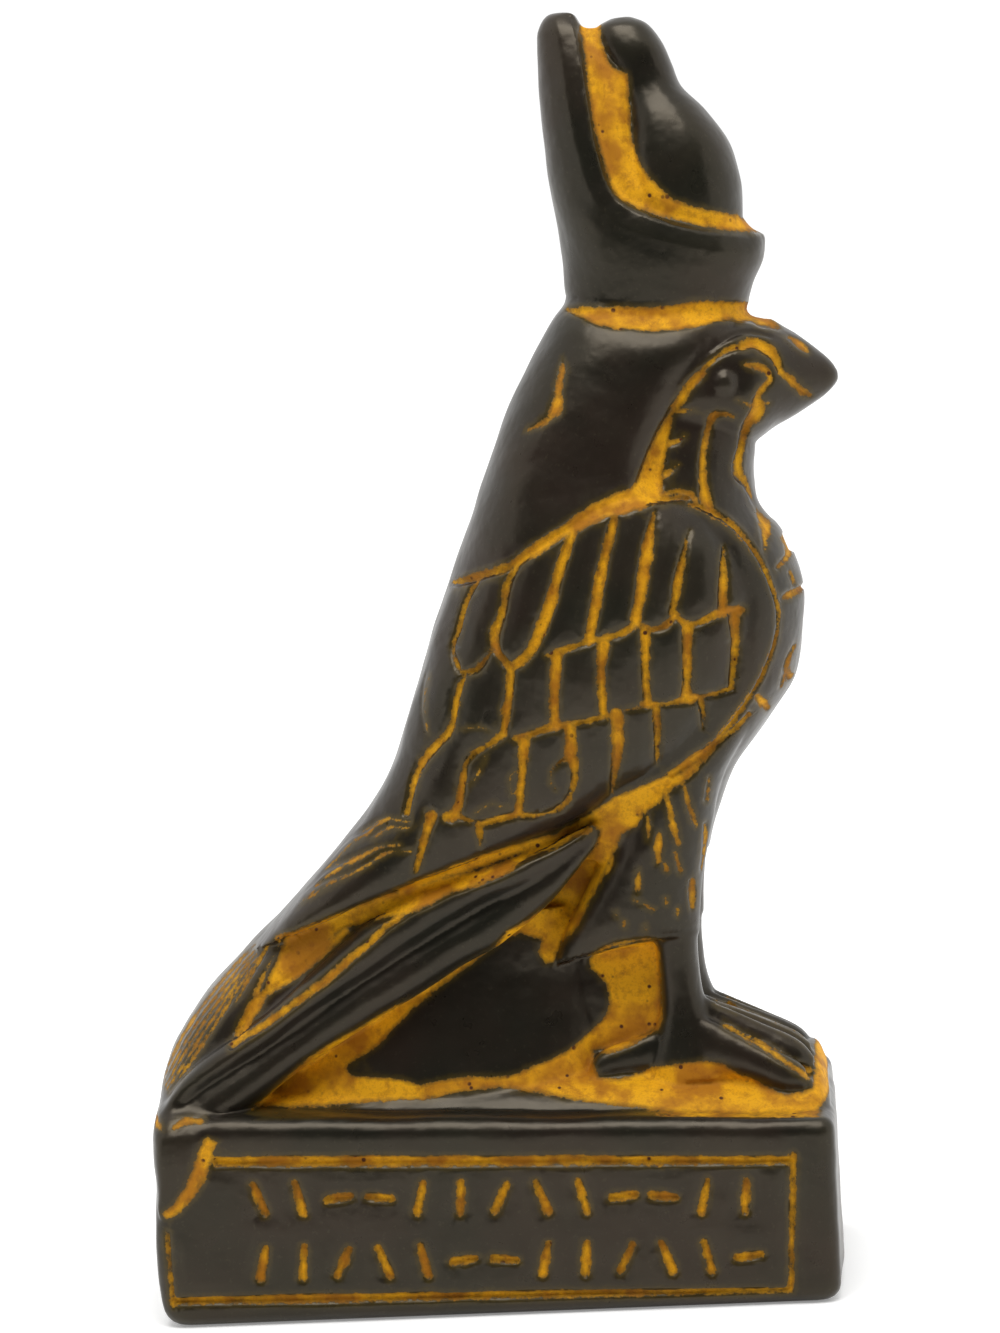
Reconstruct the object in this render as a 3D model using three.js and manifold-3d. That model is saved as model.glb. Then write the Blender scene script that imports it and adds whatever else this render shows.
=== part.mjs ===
// A falcon with a double crown, standing on an oblong plinth with a carved band of strokes on its sides.
// It is cast in one piece. Millimetres, +Z up, the falcon looks along +X. The origin is the middle of
// the plinth's underside.
import * as THREE from "three";
import { mergeVertices } from "three/addons/utils/BufferGeometryUtils.js";
import Module from "manifold-3d";

const wasm = await Module();
wasm.setup();

// Plinth
const plinthLength = 84;
const plinthWidth = 40;
const plinthRearHeight = 26.6;
const plinthFrontHeight = 23.2;
const plinthEdgeRadius = 2.2;
const plinthRearFlare = 0.7; // how far the foot stands out beyond the top at the rear end

// Figure, from the plinth's top under the feet to the tip of the crown
const figureHeight = 135;

// Tail's end, which hangs over the plinth's rear corners
const tailEndOverhang = 0.7;
const tailEndRadius = 0.6;

// Carving
const grooveDepth = 1;
const borderWidth = 1.2;
const borderFromTop = 5.2;
const borderFromFootRear = 3.6;
const borderFromFootFront = 1.9;
const borderFromFrontTop = 5.4;
const borderFromFrontFoot = 6.6;
const borderFromRear = 1.4;
const borderFromRearCorner = 7.5;
const borderRearBreak = 9;
const strokeDepth = 0.8;
const strokeWidth = 1.4;
const strokeSpacing = 4.8;
const uprightStrokeLength = 3.9;
const levelStrokeLength = 2.9;
const strokesFromBorder = 2.4;

// The figure is drawn in side view on a sketch, with its feet and the tip of its crown at these heights.
const sketch = { feet: 24, tip: 159, feetX: 24 };
const unit = figureHeight / (sketch.tip - sketch.feet);
const topSlope = (plinthFrontHeight - plinthRearHeight) / plinthLength;
const plinthTop = (x) => (plinthRearHeight + plinthFrontHeight) / 2 + topSlope * x;
const feetZ = plinthTop(sketch.feetX * unit);
const onModel = (x, z) => new THREE.Vector2(x * unit, feetZ + (z - sketch.feet) * unit);

/** A sphere's grid with its vertices moved to pointAt(row, column), closed by a point at each end. */
function closedSkin(rows, columns, pointAt) {
  const geometry = new THREE.SphereGeometry(1, columns, rows + 1);
  const position = geometry.attributes.position;
  const ring = (row) => Array.from({ length: columns }, (_, column) => pointAt(row, column));
  const middle = (points) =>
    points.reduce((sum, point) => sum.add(point), new THREE.Vector3()).divideScalar(columns);
  const rings = Array.from({ length: rows }, (_, row) => ring(row));
  const first = middle(rings[0]);
  const last = middle(rings[rows - 1]);
  for (let i = 0; i < position.count; i++) {
    const row = Math.floor(i / (columns + 1));
    const column = i % (columns + 1);
    const inner = row > 0 && row <= rows ? rings[row - 1][column % columns] : null;
    const point = inner ?? (row === 0 ? first : last);
    position.setXYZ(i, point.x, point.y, point.z);
  }
  return geometry;
}

/**
 * A body over ribs. A rib is [rearX, rearZ, frontX, frontZ, halfWidth, aside, bow] on the sketch: it
 * runs from its rear point to its front point, bowed up by bow in the middle. The body is as wide there
 * as the rib says, at a distance aside of the middle. Boxiness 2 gives round sections, more gives
 * squarer ones.
 */
function bodyOver(ribs, { rows, columns, boxiness = 2 }) {
  const curve = (pick) => new THREE.CatmullRomCurve3(ribs.map((rib) => new THREE.Vector3(...pick(rib))));
  const rear = curve(([x, z, , , halfWidth]) => [x, halfWidth, z]);
  const front = curve(([, , x, z, , aside = 0]) => [x, aside, z]);
  const bows = ribs.map(([, , , , , , bow = 0]) => bow);
  const power = (value) => Math.sign(value) * Math.abs(value) ** (2 / boxiness);
  return closedSkin(rows, columns, (row, column) => {
    const share = row / (rows - 1);
    const a = rear.getPoint(share);
    const b = front.getPoint(share);
    const rib = Math.min(Math.floor(share * (ribs.length - 1)), ribs.length - 2);
    const bow = THREE.MathUtils.lerp(bows[rib], bows[rib + 1], share * (ribs.length - 1) - rib);
    const angle = (column / columns) * 2 * Math.PI;
    const along = (1 + power(Math.cos(angle))) / 2;
    const rise = bow * 4 * along * (1 - along);
    const side = onModel(a.x + along * (b.x - a.x), a.z + along * (b.z - a.z) + rise);
    return new THREE.Vector3(side.x, (b.y + power(Math.sin(angle)) * a.y) * unit, side.y);
  });
}

/** An outline on the sketch, drawn out to a wall of the given half width. */
function wallOver(points, halfWidth) {
  const depth = 2 * halfWidth * unit;
  const outline = new THREE.Shape(points.map(([x, z]) => onModel(x, z)));
  const wall = new THREE.ExtrudeGeometry(outline, { depth, bevelEnabled: false });
  wall.rotateX(Math.PI / 2);
  wall.translate(0, depth / 2, 0);
  return wall;
}

function signedVolume(vertices, triangles) {
  const corner = [0, 1, 2].map(() => new THREE.Vector3());
  let sum = 0;
  for (let i = 0; i < triangles.length; i += 3) {
    corner.forEach((point, j) => point.fromArray(vertices, 3 * triangles[i + j]));
    sum += corner[0].dot(corner[1].cross(corner[2]));
  }
  return sum / 6;
}

/** A closed geometry as a solid, with its faces turned outwards. */
function solid(geometry) {
  geometry.deleteAttribute("normal");
  geometry.deleteAttribute("uv");
  const merged = mergeVertices(geometry, 1e-4);
  const vertProperties = new Float32Array(merged.attributes.position.array);
  const triVerts = new Uint32Array(merged.index.array);
  if (signedVolume(vertProperties, triVerts) < 0) triVerts.reverse();
  return new wasm.Manifold(new wasm.Mesh({ numProp: 3, vertProperties, triVerts }));
}

const joined = (solids) => solids.reduce((sum, next) => sum.add(next));
const onBothSides = (geometry) => [solid(geometry), solid(geometry.clone().scale(1, -1, 1))];

function geometryOf(manifold) {
  const mesh = manifold.getMesh();
  const geometry = new THREE.BufferGeometry();
  geometry.setAttribute("position", new THREE.BufferAttribute(mesh.vertProperties, 3));
  geometry.setIndex(new THREE.BufferAttribute(mesh.triVerts, 1));
  return geometry;
}

/** A block with the given outline in side view, drawn out across its width, with rounded edges. */
function roundedBlock(points, width, radius, segments) {
  const depth = width - 2 * radius;
  const block = new THREE.ExtrudeGeometry(new THREE.Shape(points), {
    depth,
    bevelSize: radius,
    bevelOffset: -radius,
    bevelThickness: radius,
    bevelSegments: segments,
  });
  block.rotateX(Math.PI / 2);
  block.translate(0, depth / 2, 0);
  return block;
}

const plinth = roundedBlock(
  [
    new THREE.Vector2(-plinthLength / 2 - plinthRearFlare, 0),
    new THREE.Vector2(plinthLength / 2, 0),
    new THREE.Vector2(plinthLength / 2, plinthFrontHeight),
    new THREE.Vector2(-plinthLength / 2, plinthRearHeight),
  ],
  plinthWidth,
  plinthEdgeRadius,
  3,
);

// The low mound that the feet and the wall behind them rise from
const mound = bodyOver(
  [
    [-38, 20, -38, 27.0, 13.0],
    [-30, 20, -30, 29.2, 14.5],
    [-18, 19, -18, 30.4, 15.0],
    [0, 18.5, 0, 30.4, 15.0],
    [16, 18, 16, 29.6, 15.5],
    [30, 18, 30, 27.6, 15.5],
    [37, 18, 37, 25.8, 14.5],
    [39, 18, 39, 24.0, 13.0],
  ],
  { rows: 7, columns: 8, boxiness: 1.7 },
);

// The wall left standing between the tail, the belly, the legs and the plinth
const web = wallOver(
  [
    [-34, 22],
    [-24, 31],
    [-8, 42],
    [2, 52],
    [8, 62],
    [24, 66],
    [24, 22],
  ],
  6.4,
);

// Mantle and wings, from the crown's base over the back to the wing tips
const cloak = bodyOver(
  [
    [14.6, 124.0, 35.4, 121.4, 8.2],
    [12.7, 122.4, 35.8, 120.4, 9.8],
    [10.4, 119.0, 35.0, 117.8, 11.4],
    [7.3, 113.6, 30.6, 113.2, 12.8],
    [4.7, 108.2, 27.4, 108.0, 14.2],
    [2.3, 102.4, 26.0, 103.0, 15.6],
    [0.5, 98.0, 30.4, 98.6, 16.8],
    [-1.5, 93.0, 35.9, 93.0, 17.6],
    [-3.4, 88.4, 38.0, 88.2, 18.1],
    [-5.3, 83.8, 38.2, 83.6, 18.3],
    [-7.4, 78.2, 36.6, 78.6, 18.2],
    [-9.3, 73.2, 33.8, 73.4, 17.8],
    [-11.2, 67.8, 28.6, 68.2, 17.2],
    [-14.6, 62.2, 20.8, 64.2, 16.4],
    [-19.2, 57.0, 11.2, 59.8, 15.6],
    [-24.4, 51.5, -1.0, 55.8, 14.8],
    [-28.6, 47.2, -12.0, 52.4, 13.8],
    [-30.6, 45.2, -22.0, 48.6, 12.0],
  ],
  { rows: 15, columns: 16, boxiness: 2.7 },
);

// Neck, breast and belly, which stand out in front of the wings
const breast = bodyOver(
  [
    [14, 116, 36.4, 112.0, 9.0],
    [13, 108, 36.4, 105.6, 10.6],
    [12, 101, 35.9, 101.0, 12.0],
    [11, 97.5, 36.2, 97.6, 13.0],
    [10, 93.5, 38.9, 93.8, 14.4],
    [9, 88.0, 41.1, 87.6, 15.2],
    [9, 82.0, 41.0, 82.0, 15.2],
    [9, 76.0, 39.5, 76.0, 14.8],
    [9, 70.5, 35.5, 70.6, 14.2],
    [9, 65.5, 31.2, 65.2, 13.4],
    [9, 60.0, 28.8, 60.0, 12.4],
    [10, 55.0, 27.3, 54.6, 11.0],
  ],
  { rows: 10, columns: 14, boxiness: 2.3 },
);

// Head, drawn out to the hooked beak
const head = bodyOver(
  [
    [18, 122.5, 18, 106.0, 9.6],
    [24, 123.0, 24, 104.4, 10.6],
    [30, 122.8, 30.6, 104.2, 10.6],
    [35, 122.0, 35.6, 105.0, 9.6],
    [38.6, 120.8, 39.0, 107.2, 7.4],
    [41.8, 118.6, 42.0, 108.6, 5.0],
    [44.4, 116.4, 44.5, 110.1, 3.1],
    [46.2, 114.6, 46.0, 111.4, 1.9],
    [46.9, 113.4, 46.8, 112.3, 0.8],
  ],
  { rows: 9, columns: 14, boxiness: 2.2 },
);

// Tail, under the wing tips, and its end, which hangs over the plinth's rear edge
const tail = bodyOver(
  [
    [-4.0, 66, 15.0, 62.0, 12.0],
    [-8.0, 62, 14.0, 56.0, 12.6],
    [-18.0, 56, 5.0, 48.8, 12.6],
    [-26.0, 49.6, -5.0, 42.4, 12.6],
    [-32.6, 43.6, -15.0, 36.4, 12.8],
    [-37.9, 37.8, -23.0, 31.2, 13.2],
    [-41.0, 32.4, -29.0, 26.6, 14.0],
    [-42.6, 27.4, -33.0, 23.0, 14.8],
    [-43.0, 22.6, -36.0, 19.0, 15.4],
  ],
  { rows: 8, columns: 12, boxiness: 2.6 },
);
const tailEnd = roundedBlock(
  [
    [-33.6, 27.0],
    [-35.6, 22.2],
    [-38.4, 17.8],
    [-41.0, 14.4],
    [-42.6, 13.8],
    [-43.4, 17.0],
    [-43.6, 22.0],
    [-43.2, 26.0],
    [-41.6, 27.2],
  ].map(([x, z]) => onModel(x, z)),
  plinthWidth + 2 * tailEndOverhang,
  tailEndRadius,
  1,
);

// The long rolls along each side of the tail: a broad one above and a sloping one below a valley
const upperRoll = bodyOver(
  [
    [14.3, 60.2, 14.7, 59.2, 0.6, 12.0],
    [5.6, 56.8, 7.2, 54.0, 2.4, 13.0],
    [-2.6, 54.4, 0.2, 50.8, 3.0, 12.9],
    [-12.4, 50.6, -9.4, 45.4, 3.2, 12.8],
    [-20.7, 44.2, -18.5, 40.1, 3.2, 12.7],
    [-29.2, 37.4, -27.6, 34.3, 3.0, 12.9],
    [-38.2, 31.6, -36.8, 29.2, 2.6, 13.6],
    [-42.2, 28.4, -41.4, 26.6, 2.2, 14.0],
  ],
  { rows: 7, columns: 7 },
);
const lowerRoll = bodyOver(
  [
    [14.6, 59.2, 14.9, 58.0, 0.6, 11.6],
    [7.0, 54.6, 9.6, 51.8, 2.0, 12.4],
    [-0.1, 51.0, 4.4, 47.0, 2.8, 12.2],
    [-9.6, 45.8, -5.1, 41.6, 3.2, 12.0],
    [-18.7, 40.5, -14.6, 36.4, 3.4, 11.9],
    [-27.8, 34.7, -24.0, 30.8, 3.4, 12.1],
    [-36.9, 29.6, -33.0, 25.0, 3.2, 12.8],
    [-41.6, 26.8, -39.0, 23.0, 2.4, 13.6],
  ],
  { rows: 7, columns: 7 },
);

// Feathered thighs and bare legs
const thigh = bodyOver(
  [
    [21.5, 71, 34.0, 70.5, 5.0, 7.6],
    [19.0, 64.0, 30.4, 65.0, 6.0, 7.6],
    [16.0, 57.6, 28.0, 58.4, 6.2, 7.4],
    [12.6, 51.6, 26.8, 52.6, 6.0, 7.2],
    [9.2, 45.6, 26.5, 47.8, 5.6, 7.2, 0.6],
    [7.9, 41.8, 26.3, 44.8, 4.8, 7.2, 1.3],
  ],
  { rows: 6, columns: 10 },
);
const leg = bodyOver(
  [
    [20.6, 47, 26.2, 47, 3.2, 7.2],
    [20.8, 41, 26.0, 41, 3.0, 7.2],
    [20.8, 36, 26.6, 36.2, 3.2, 7.4],
    [18.0, 27, 31.0, 27, 4.6, 7.6],
  ],
  { rows: 5, columns: 8 },
);

const toeSole = 26.5; // how low the toes reach into the mound

/** A toe from its root to its tip, each given as [x, z, aside] on its upper side. */
function toe(root, tip, radius) {
  const stops = [
    { share: 0, swelling: 0.9, droop: 0 },
    { share: 0.5, swelling: 1, droop: 0 },
    { share: 0.88, swelling: 0.95, droop: 0.1 },
    { share: 1, swelling: 0.4, droop: 0.8 },
  ];
  const ribs = stops.map(({ share, swelling, droop }) => {
    const [x, z, aside] = root.map((start, i) => start + share * (tip[i] - start));
    const top = z - droop * radius;
    const thickness = radius * swelling;
    const sole = Math.min(top - 2 * thickness, toeSole);
    return [x - thickness, sole, x, top, thickness, aside];
  });
  return bodyOver(ribs, { rows: 4, columns: 6 });
}
const toes = [
  toe([26.2, 36.8, 5.8], [39.6, 30.8, 4.2], 1.9),
  toe([26.6, 36.6, 7.6], [39.8, 29.9, 8.0], 1.9),
  toe([25.6, 35.0, 9.4], [39.4, 28.0, 11.8], 2.0),
  toe([22.5, 33.6, 8.2], [12.0, 30.6, 9.4], 1.7),
];

// Bosses of the eyes
const eye = new THREE.SphereGeometry(2.1 * unit, 6, 4);
const eyePlace = onModel(33.0, 113.5);
eye.translate(eyePlace.x, 9.3 * unit, eyePlace.y);

// Outer crown: a cup with a low rim in front that sweeps up to a tall plate behind
const crownShell = bodyOver(
  [
    [14.8, 119.4, 35.8, 118.6, 8.4],
    [14.1, 125.4, 37.0, 124.6, 9.0],
    [13.7, 129.4, 38.6, 128.2, 9.8],
    [13.2, 134.0, 39.0, 132.6, 10.2],
    [12.6, 139.4, 39.0, 138.0, 9.8],
    [12.3, 145.0, 38.0, 145.0, 8.8],
    [12.2, 151.0, 36.0, 151.0, 7.4],
    [12.5, 155.4, 32.0, 155.4, 5.8],
    [13.6, 158.2, 24.0, 158.4, 3.8],
    [15.2, 159.0, 18.0, 159.0, 1.6],
  ],
  { rows: 12, columns: 18, boxiness: 2.2 },
);

// The crown's rim, from above its tip down to in front of it. What lies beyond it is cut away.
const rimLine = [
  [16.4, 162],
  [17.5, 157.5],
  [18.4, 149.6],
  [19.4, 142.2],
  [21.3, 136.9],
  [25.0, 134.5],
  [31.0, 132.5],
  [37.2, 131.3],
  [44, 130.6],
];
const rim = new THREE.SplineCurve(rimLine.map(([x, z]) => new THREE.Vector2(x, z)));
const rimCorner = [rimLine.at(-1)[0], rimLine[0][1]];
const rimPoints = rim.getPoints(10).map(({ x, y }) => [x, y]);
const crownOpening = wallOver([...rimPoints, rimCorner], plinthWidth / 2);

// Inner crown: a bulb that narrows to a neck under a knob, and the ground between it and the plate
const innerCrown = bodyOver(
  [
    [22.6, 126, 36.0, 130.0, 6.4],
    [22.4, 132, 36.4, 134.4, 7.0],
    [22.2, 138.0, 36.0, 138.0, 7.2],
    [22.2, 142.0, 34.6, 142.6, 6.8],
    [22.6, 146.4, 31.9, 146.6, 5.6],
    [22.6, 149.6, 28.9, 149.8, 4.0],
    [21.0, 152.4, 27.9, 152.4, 3.8],
    [19.6, 155.4, 26.8, 155.2, 4.2],
    [19.6, 157.6, 25.0, 157.8, 3.2],
    [21.6, 158.8, 23.4, 158.8, 1.4],
  ],
  { rows: 12, columns: 11 },
);
const crownGround = bodyOver(
  [
    [15.0, 130.0, 37.8, 131.0, 8.4],
    [15.0, 133.4, 35.6, 133.6, 8.4],
    [15.0, 135.6, 29.4, 135.6, 8.2],
    [15.0, 138.4, 25.8, 138.4, 7.8],
    [14.8, 142.4, 23.9, 142.4, 7.2],
    [14.6, 147.0, 23.4, 147.0, 6.4],
    [14.4, 151.2, 23.2, 151.2, 5.2],
    [14.6, 154.2, 21.0, 154.2, 4.2],
    [15.0, 157.4, 20.2, 157.4, 2.4],
  ],
  { rows: 8, columns: 8, boxiness: 3 },
);

const uncarved = joined([
  solid(plinth),
  solid(mound),
  solid(web),
  solid(tailEnd),
  solid(tail),
  solid(cloak),
  solid(breast),
  solid(head),
  solid(crownShell).subtract(solid(crownOpening)),
  solid(crownGround),
  solid(innerCrown),
  ...[upperRoll, lowerRoll, thigh, leg, eye, ...toes].flatMap(onBothSides),
]);

// Carving on the flanks

const uncarvedMesh = new THREE.Mesh(geometryOf(uncarved));
const fromRight = new THREE.Raycaster();
const leastHalfWidth = 0.5; // where the flank is nearer the middle, nothing is carved
const feelerStep = 0.8; // how far apart the flank is felt for its slope
const steepestSlope = 1.5;

/** The point of the uncarved figure's right flank at (x, z) on the sketch, or null past its outline. */
function flankPoint(x, z) {
  const spot = onModel(x, z);
  fromRight.set(new THREE.Vector3(spot.x, -plinthWidth, spot.y), new THREE.Vector3(0, 1, 0));
  const hit = fromRight.intersectObject(uncarvedMesh)[0];
  return hit && hit.point.y < -leastHalfWidth ? hit.point : null;
}

/** How far y changes along the flank per millimetre, going from one point to the other. */
function flankSlope(from, to, axis) {
  if (!from || !to) return 0;
  const slope = (to.y - from.y) / (to[axis] - from[axis]);
  return THREE.MathUtils.clamp(slope, -steepestSlope, steepestSlope);
}

function flankNormal(x, z) {
  const slopeX = flankSlope(flankPoint(x - feelerStep, z), flankPoint(x + feelerStep, z), "x");
  const slopeZ = flankSlope(flankPoint(x, z - feelerStep), flankPoint(x, z + feelerStep), "z");
  return new THREE.Vector3(slopeX, -1, slopeZ).normalize();
}

/**
 * The solid that cuts a V-shaped channel. Each station has a point on the surface, the
 * surface's normal there, and the channel's width.
 */
function channel(stations, depth) {
  const clearance = depth; // how far the cutter stands out of the surface
  const widen = 1 + clearance / depth;
  const corners = [
    [-widen, clearance],
    [0, -depth],
    [widen, clearance],
  ];
  return closedSkin(stations.length, corners.length, (row, column) => {
    const { point, normal, width } = stations[row];
    const before = stations[Math.max(row - 1, 0)].point;
    const after = stations[Math.min(row + 1, stations.length - 1)].point;
    const across = after.clone().sub(before).cross(normal).normalize();
    const [sideways, outwards] = corners[column];
    return point
      .clone()
      .addScaledVector(across, (sideways * width) / 2)
      .addScaledVector(normal, outwards);
  });
}

/** A groove on the flank through [x, z, width] on the sketch, in steps of about the given length. */
function flankGroove(points, { step = 6.6, depth = grooveDepth } = {}) {
  const path = new THREE.CatmullRomCurve3(points.map(([x, z, w]) => new THREE.Vector3(x, z, w)));
  const count = Math.max(1, Math.round(path.getLength() / step));
  const stations = path
    .getPoints(count)
    .map(({ x, y: z, z: width }) => ({ point: flankPoint(x, z), normal: flankNormal(x, z), width }))
    .filter(({ point }) => point);
  return stations.length > 1 ? [channel(stations, depth * unit)] : [];
}

// Rows of feathers: each has an upper and a lower edge, and grooves of the given widths part its
// feathers. The last few have no groove round their tips.
const featherRows = [
  {
    upper: [[1.8, 91.8], [9.4, 94.6], [18.9, 98.4], [26.0, 97.4], [32.3, 93.5]],
    lower: [[-1.5, 81.4], [9.5, 83.3], [20.6, 85.4], [31.3, 85.9]],
    grooves: 7,
    bareTips: 0,
    upperWidth: 0.8,
    lowerWidth: 1.6,
    tipDrop: 1.1,
  },
  {
    upper: [[-0.8, 79.9], [11.0, 82.0], [22.3, 84.4], [33.3, 85.1]],
    lower: [[-2.5, 73.1], [10.0, 73.0], [21.8, 75.4], [32.2, 76.6]],
    grooves: 7,
    bareTips: 0,
    upperWidth: 1.5,
    lowerWidth: 1.2,
    tipDrop: 0.7,
  },
  {
    upper: [[-2.5, 73.1], [6.1, 71.6], [18.0, 73.4], [28.6, 75.2]],
    lower: [[-9.0, 63.2], [5.1, 62.4], [17.1, 65.4], [28.5, 71.9]],
    grooves: 6,
    bareTips: 2,
    upperWidth: 1.5,
    lowerWidth: 1.0,
    tipDrop: 0.8,
  },
];

/** The grooves of one row of feathers: one between each two feathers, and one round their tips. */
function featherGrooves({ upper, lower, grooves, bareTips, upperWidth, lowerWidth, tipDrop }) {
  const curve = (points) => new THREE.SplineCurve(points.map(([x, z]) => new THREE.Vector2(x, z)));
  const tops = curve(upper).getPoints(grooves - 1);
  const feet = curve(lower).getPoints(grooves - 1);
  const between = tops.flatMap((top, i) => {
    const ends = [
      [top.x, top.y, upperWidth],
      [feet[i].x, feet[i].y, lowerWidth],
    ];
    return flankGroove(ends, { step: 7 });
  });
  const tipCount = grooves - bareTips;
  const tips = feet.slice(0, tipCount).flatMap((foot, i) => {
    const next = feet[i + 1];
    const start = [foot.x, foot.y, lowerWidth];
    if (!next) return [start];
    return [start, [(foot.x + next.x) / 2, (foot.y + next.y) / 2 - tipDrop, lowerWidth * 0.7]];
  });
  return [...between, ...flankGroove(tips, { step: 3.8 })];
}

const wingGrooves = [
  // round the wing, from the back over the shoulder and down the breast
  [
    [-1.0, 90.7, 1.0],
    [8.0, 94.0, 1.4],
    [20.0, 99.7, 2.6],
    [26.0, 99.8, 1.2],
    [32.0, 96.8, 0.9],
    [36.5, 90.5, 0.9],
    [38.1, 84.5, 0.9],
    [36.4, 78.2, 0.9],
    [31.8, 71.2, 1.2],
    [24.0, 65.2, 1.8],
    [14.0, 60.6, 2.0],
    [2.0, 55.2, 1.8],
    [-9.4, 51.3, 2.2],
    [-18.0, 49.2, 2.2],
    [-25.4, 46.9, 1.2],
  ],
  // wedges under the third row
  [
    [-5.9, 62.0, 1.4],
    [-7.7, 56.2, 0.8],
  ],
  [
    [0.4, 61.0, 1.3],
    [0.3, 58.8, 0.6],
  ],
  // on the tail
  [
    [-10.6, 49.8, 0.9],
    [-19.6, 42.9, 1.3],
    [-32.4, 34.8, 1.2],
  ],
  [
    [-18.6, 47.2, 1.2],
    [-23.3, 43.8, 1.5],
    [-29.6, 39.2, 1.4],
    [-31.9, 35.6, 1.0],
  ],
];

const headGrooves = [
  // under the crown
  [
    [15.2, 122.7, 1.2],
    [18.4, 121.9, 1.6],
    [25.5, 121.2, 2.6],
    [33.0, 121.8, 2.2],
    [36.4, 121.2, 1.8],
  ],
  // mantle's front edge, from the brow down to the wing
  [
    [36.6, 118.2, 0.9],
    [33.0, 116.6, 1.1],
    [29.5, 113.9, 1.4],
    [27.0, 110.5, 1.7],
    [25.4, 107.2, 2.1],
    [24.1, 104.2, 2.7],
    [22.9, 101.1, 3.4],
  ],
  // brow, and on down the mouth
  [
    [36.6, 118.2, 0.9],
    [38.5, 117.0, 1.2],
    [39.8, 114.8, 0.9],
    [41.6, 112.4, 0.9],
    [43.5, 110.8, 0.7],
  ],
  // round the front of the eye and down the throat
  [
    [37.6, 115.2, 0.8],
    [37.8, 112.9, 1.0],
    [37.3, 110.6, 1.8],
    [35.7, 107.9, 1.4],
    [34.6, 104.6, 1.1],
    [34.5, 101.4, 1.2],
    [35.3, 99.2, 0.8],
  ],
  // under the eye and down the cheek
  [
    [34.2, 109.1, 0.6],
    [31.4, 109.2, 1.1],
    [30.4, 106.6, 0.9],
    [29.9, 102.6, 1.0],
    [30.6, 98.2, 1.0],
  ],
];

const flankCarving = [
  ...featherRows.flatMap(featherGrooves),
  ...[...wingGrooves, ...headGrooves].flatMap((points) => flankGroove(points)),
].flatMap(onBothSides);

// Carving on the plinth's sides

/** A groove on the plinth's right side through [x, z] in millimetres. */
function plinthGroove(points, width, depth) {
  const normal = new THREE.Vector3(0, -1, 0);
  const stations = points.map(([x, z]) => ({
    point: new THREE.Vector3(x, -plinthWidth / 2, z),
    normal,
    width,
  }));
  return channel(stations, depth);
}

const rear = -plinthLength / 2 - plinthRearFlare + borderFromRear;
const rearCorner = -plinthLength / 2 + borderFromRearCorner;
const frontTop = plinthLength / 2 - borderFromFrontTop;
const frontFoot = plinthLength / 2 - borderFromFrontFoot;
const borderTop = (x) => plinthTop(x) - borderFromTop;
const borderFoot = (x) =>
  THREE.MathUtils.mapLinear(x, rear, frontFoot, borderFromFootRear, borderFromFootFront);

const border = [
  [[rearCorner, borderTop(rearCorner)], [frontTop, borderTop(frontTop)]],
  [[frontTop, borderTop(frontTop) + borderWidth / 2], [frontFoot, borderFoot(frontFoot)]],
  [[frontFoot, borderFoot(frontFoot)], [rear, borderFoot(rear)]],
  [[rear, borderFoot(rear) - borderWidth / 2], [rear, borderTop(rear) - borderRearBreak]],
].map((line) => plinthGroove(line, borderWidth, grooveDepth));

/** Two rows of shallow strokes in place of writing: they lean or lie in turn, each clear of the next. */
function strokes() {
  const leanings = [14, 84, -20, 6, 97, -12, 28]; // degrees from upright
  const left = rearCorner + strokesFromBorder;
  const right = frontFoot - strokesFromBorder;
  const columns = Math.floor((right - left) / strokeSpacing);
  const spacing = (right - left) / columns;
  return [0, 1].flatMap((row) =>
    Array.from({ length: columns }, (_, column) => {
      const lean = THREE.MathUtils.degToRad(leanings[(3 * column + 2 * row) % leanings.length]);
      const length = THREE.MathUtils.lerp(uprightStrokeLength, levelStrokeLength, Math.sin(lean) ** 2);
      const x = left + (column + 0.5) * spacing;
      const low = borderFoot(x) + borderWidth / 2;
      const high = borderTop(x) - borderWidth / 2;
      const z = THREE.MathUtils.lerp(low, high, (row + 0.5) / 2);
      const reach = [(Math.sin(lean) * length) / 2, (Math.cos(lean) * length) / 2];
      const ends = [[x - reach[0], z - reach[1]], [x + reach[0], z + reach[1]]];
      return plinthGroove(ends, strokeWidth, strokeDepth);
    }),
  );
}

const carving = joined([...flankCarving, ...border.flatMap(onBothSides), ...strokes().map(solid)]);

// Where grooves cross they cut off crumbs, which fall away: only the figure itself stays.
const [figureSolid] = uncarved
  .subtract(carving)
  .decompose()
  .sort((a, b) => b.volume() - a.volume());

const figure = new THREE.Mesh(
  geometryOf(figureSolid),
  new THREE.MeshStandardMaterial({ color: 0x2b2723, roughness: 0.45, metalness: 0 }),
);
figure.name = "falcon_figure";

const model = new THREE.Group();
model.add(figure);
export default model;
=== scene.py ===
"""The look of a cast falcon figure: its fine surface, the ochre rubbed into its carving, and the stage.

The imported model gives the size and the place. Sizes below are in millimetres on the figure, drawn in
side view: x forwards, z up, y to the falcon's left. Only lights, camera and finished meshes are in metres.
"""

import logging
import math
from collections.abc import Callable
from dataclasses import dataclass, field
from enum import Enum
from functools import partial

import bmesh
import bpy
import numpy as np
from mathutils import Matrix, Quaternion, Vector


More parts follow.
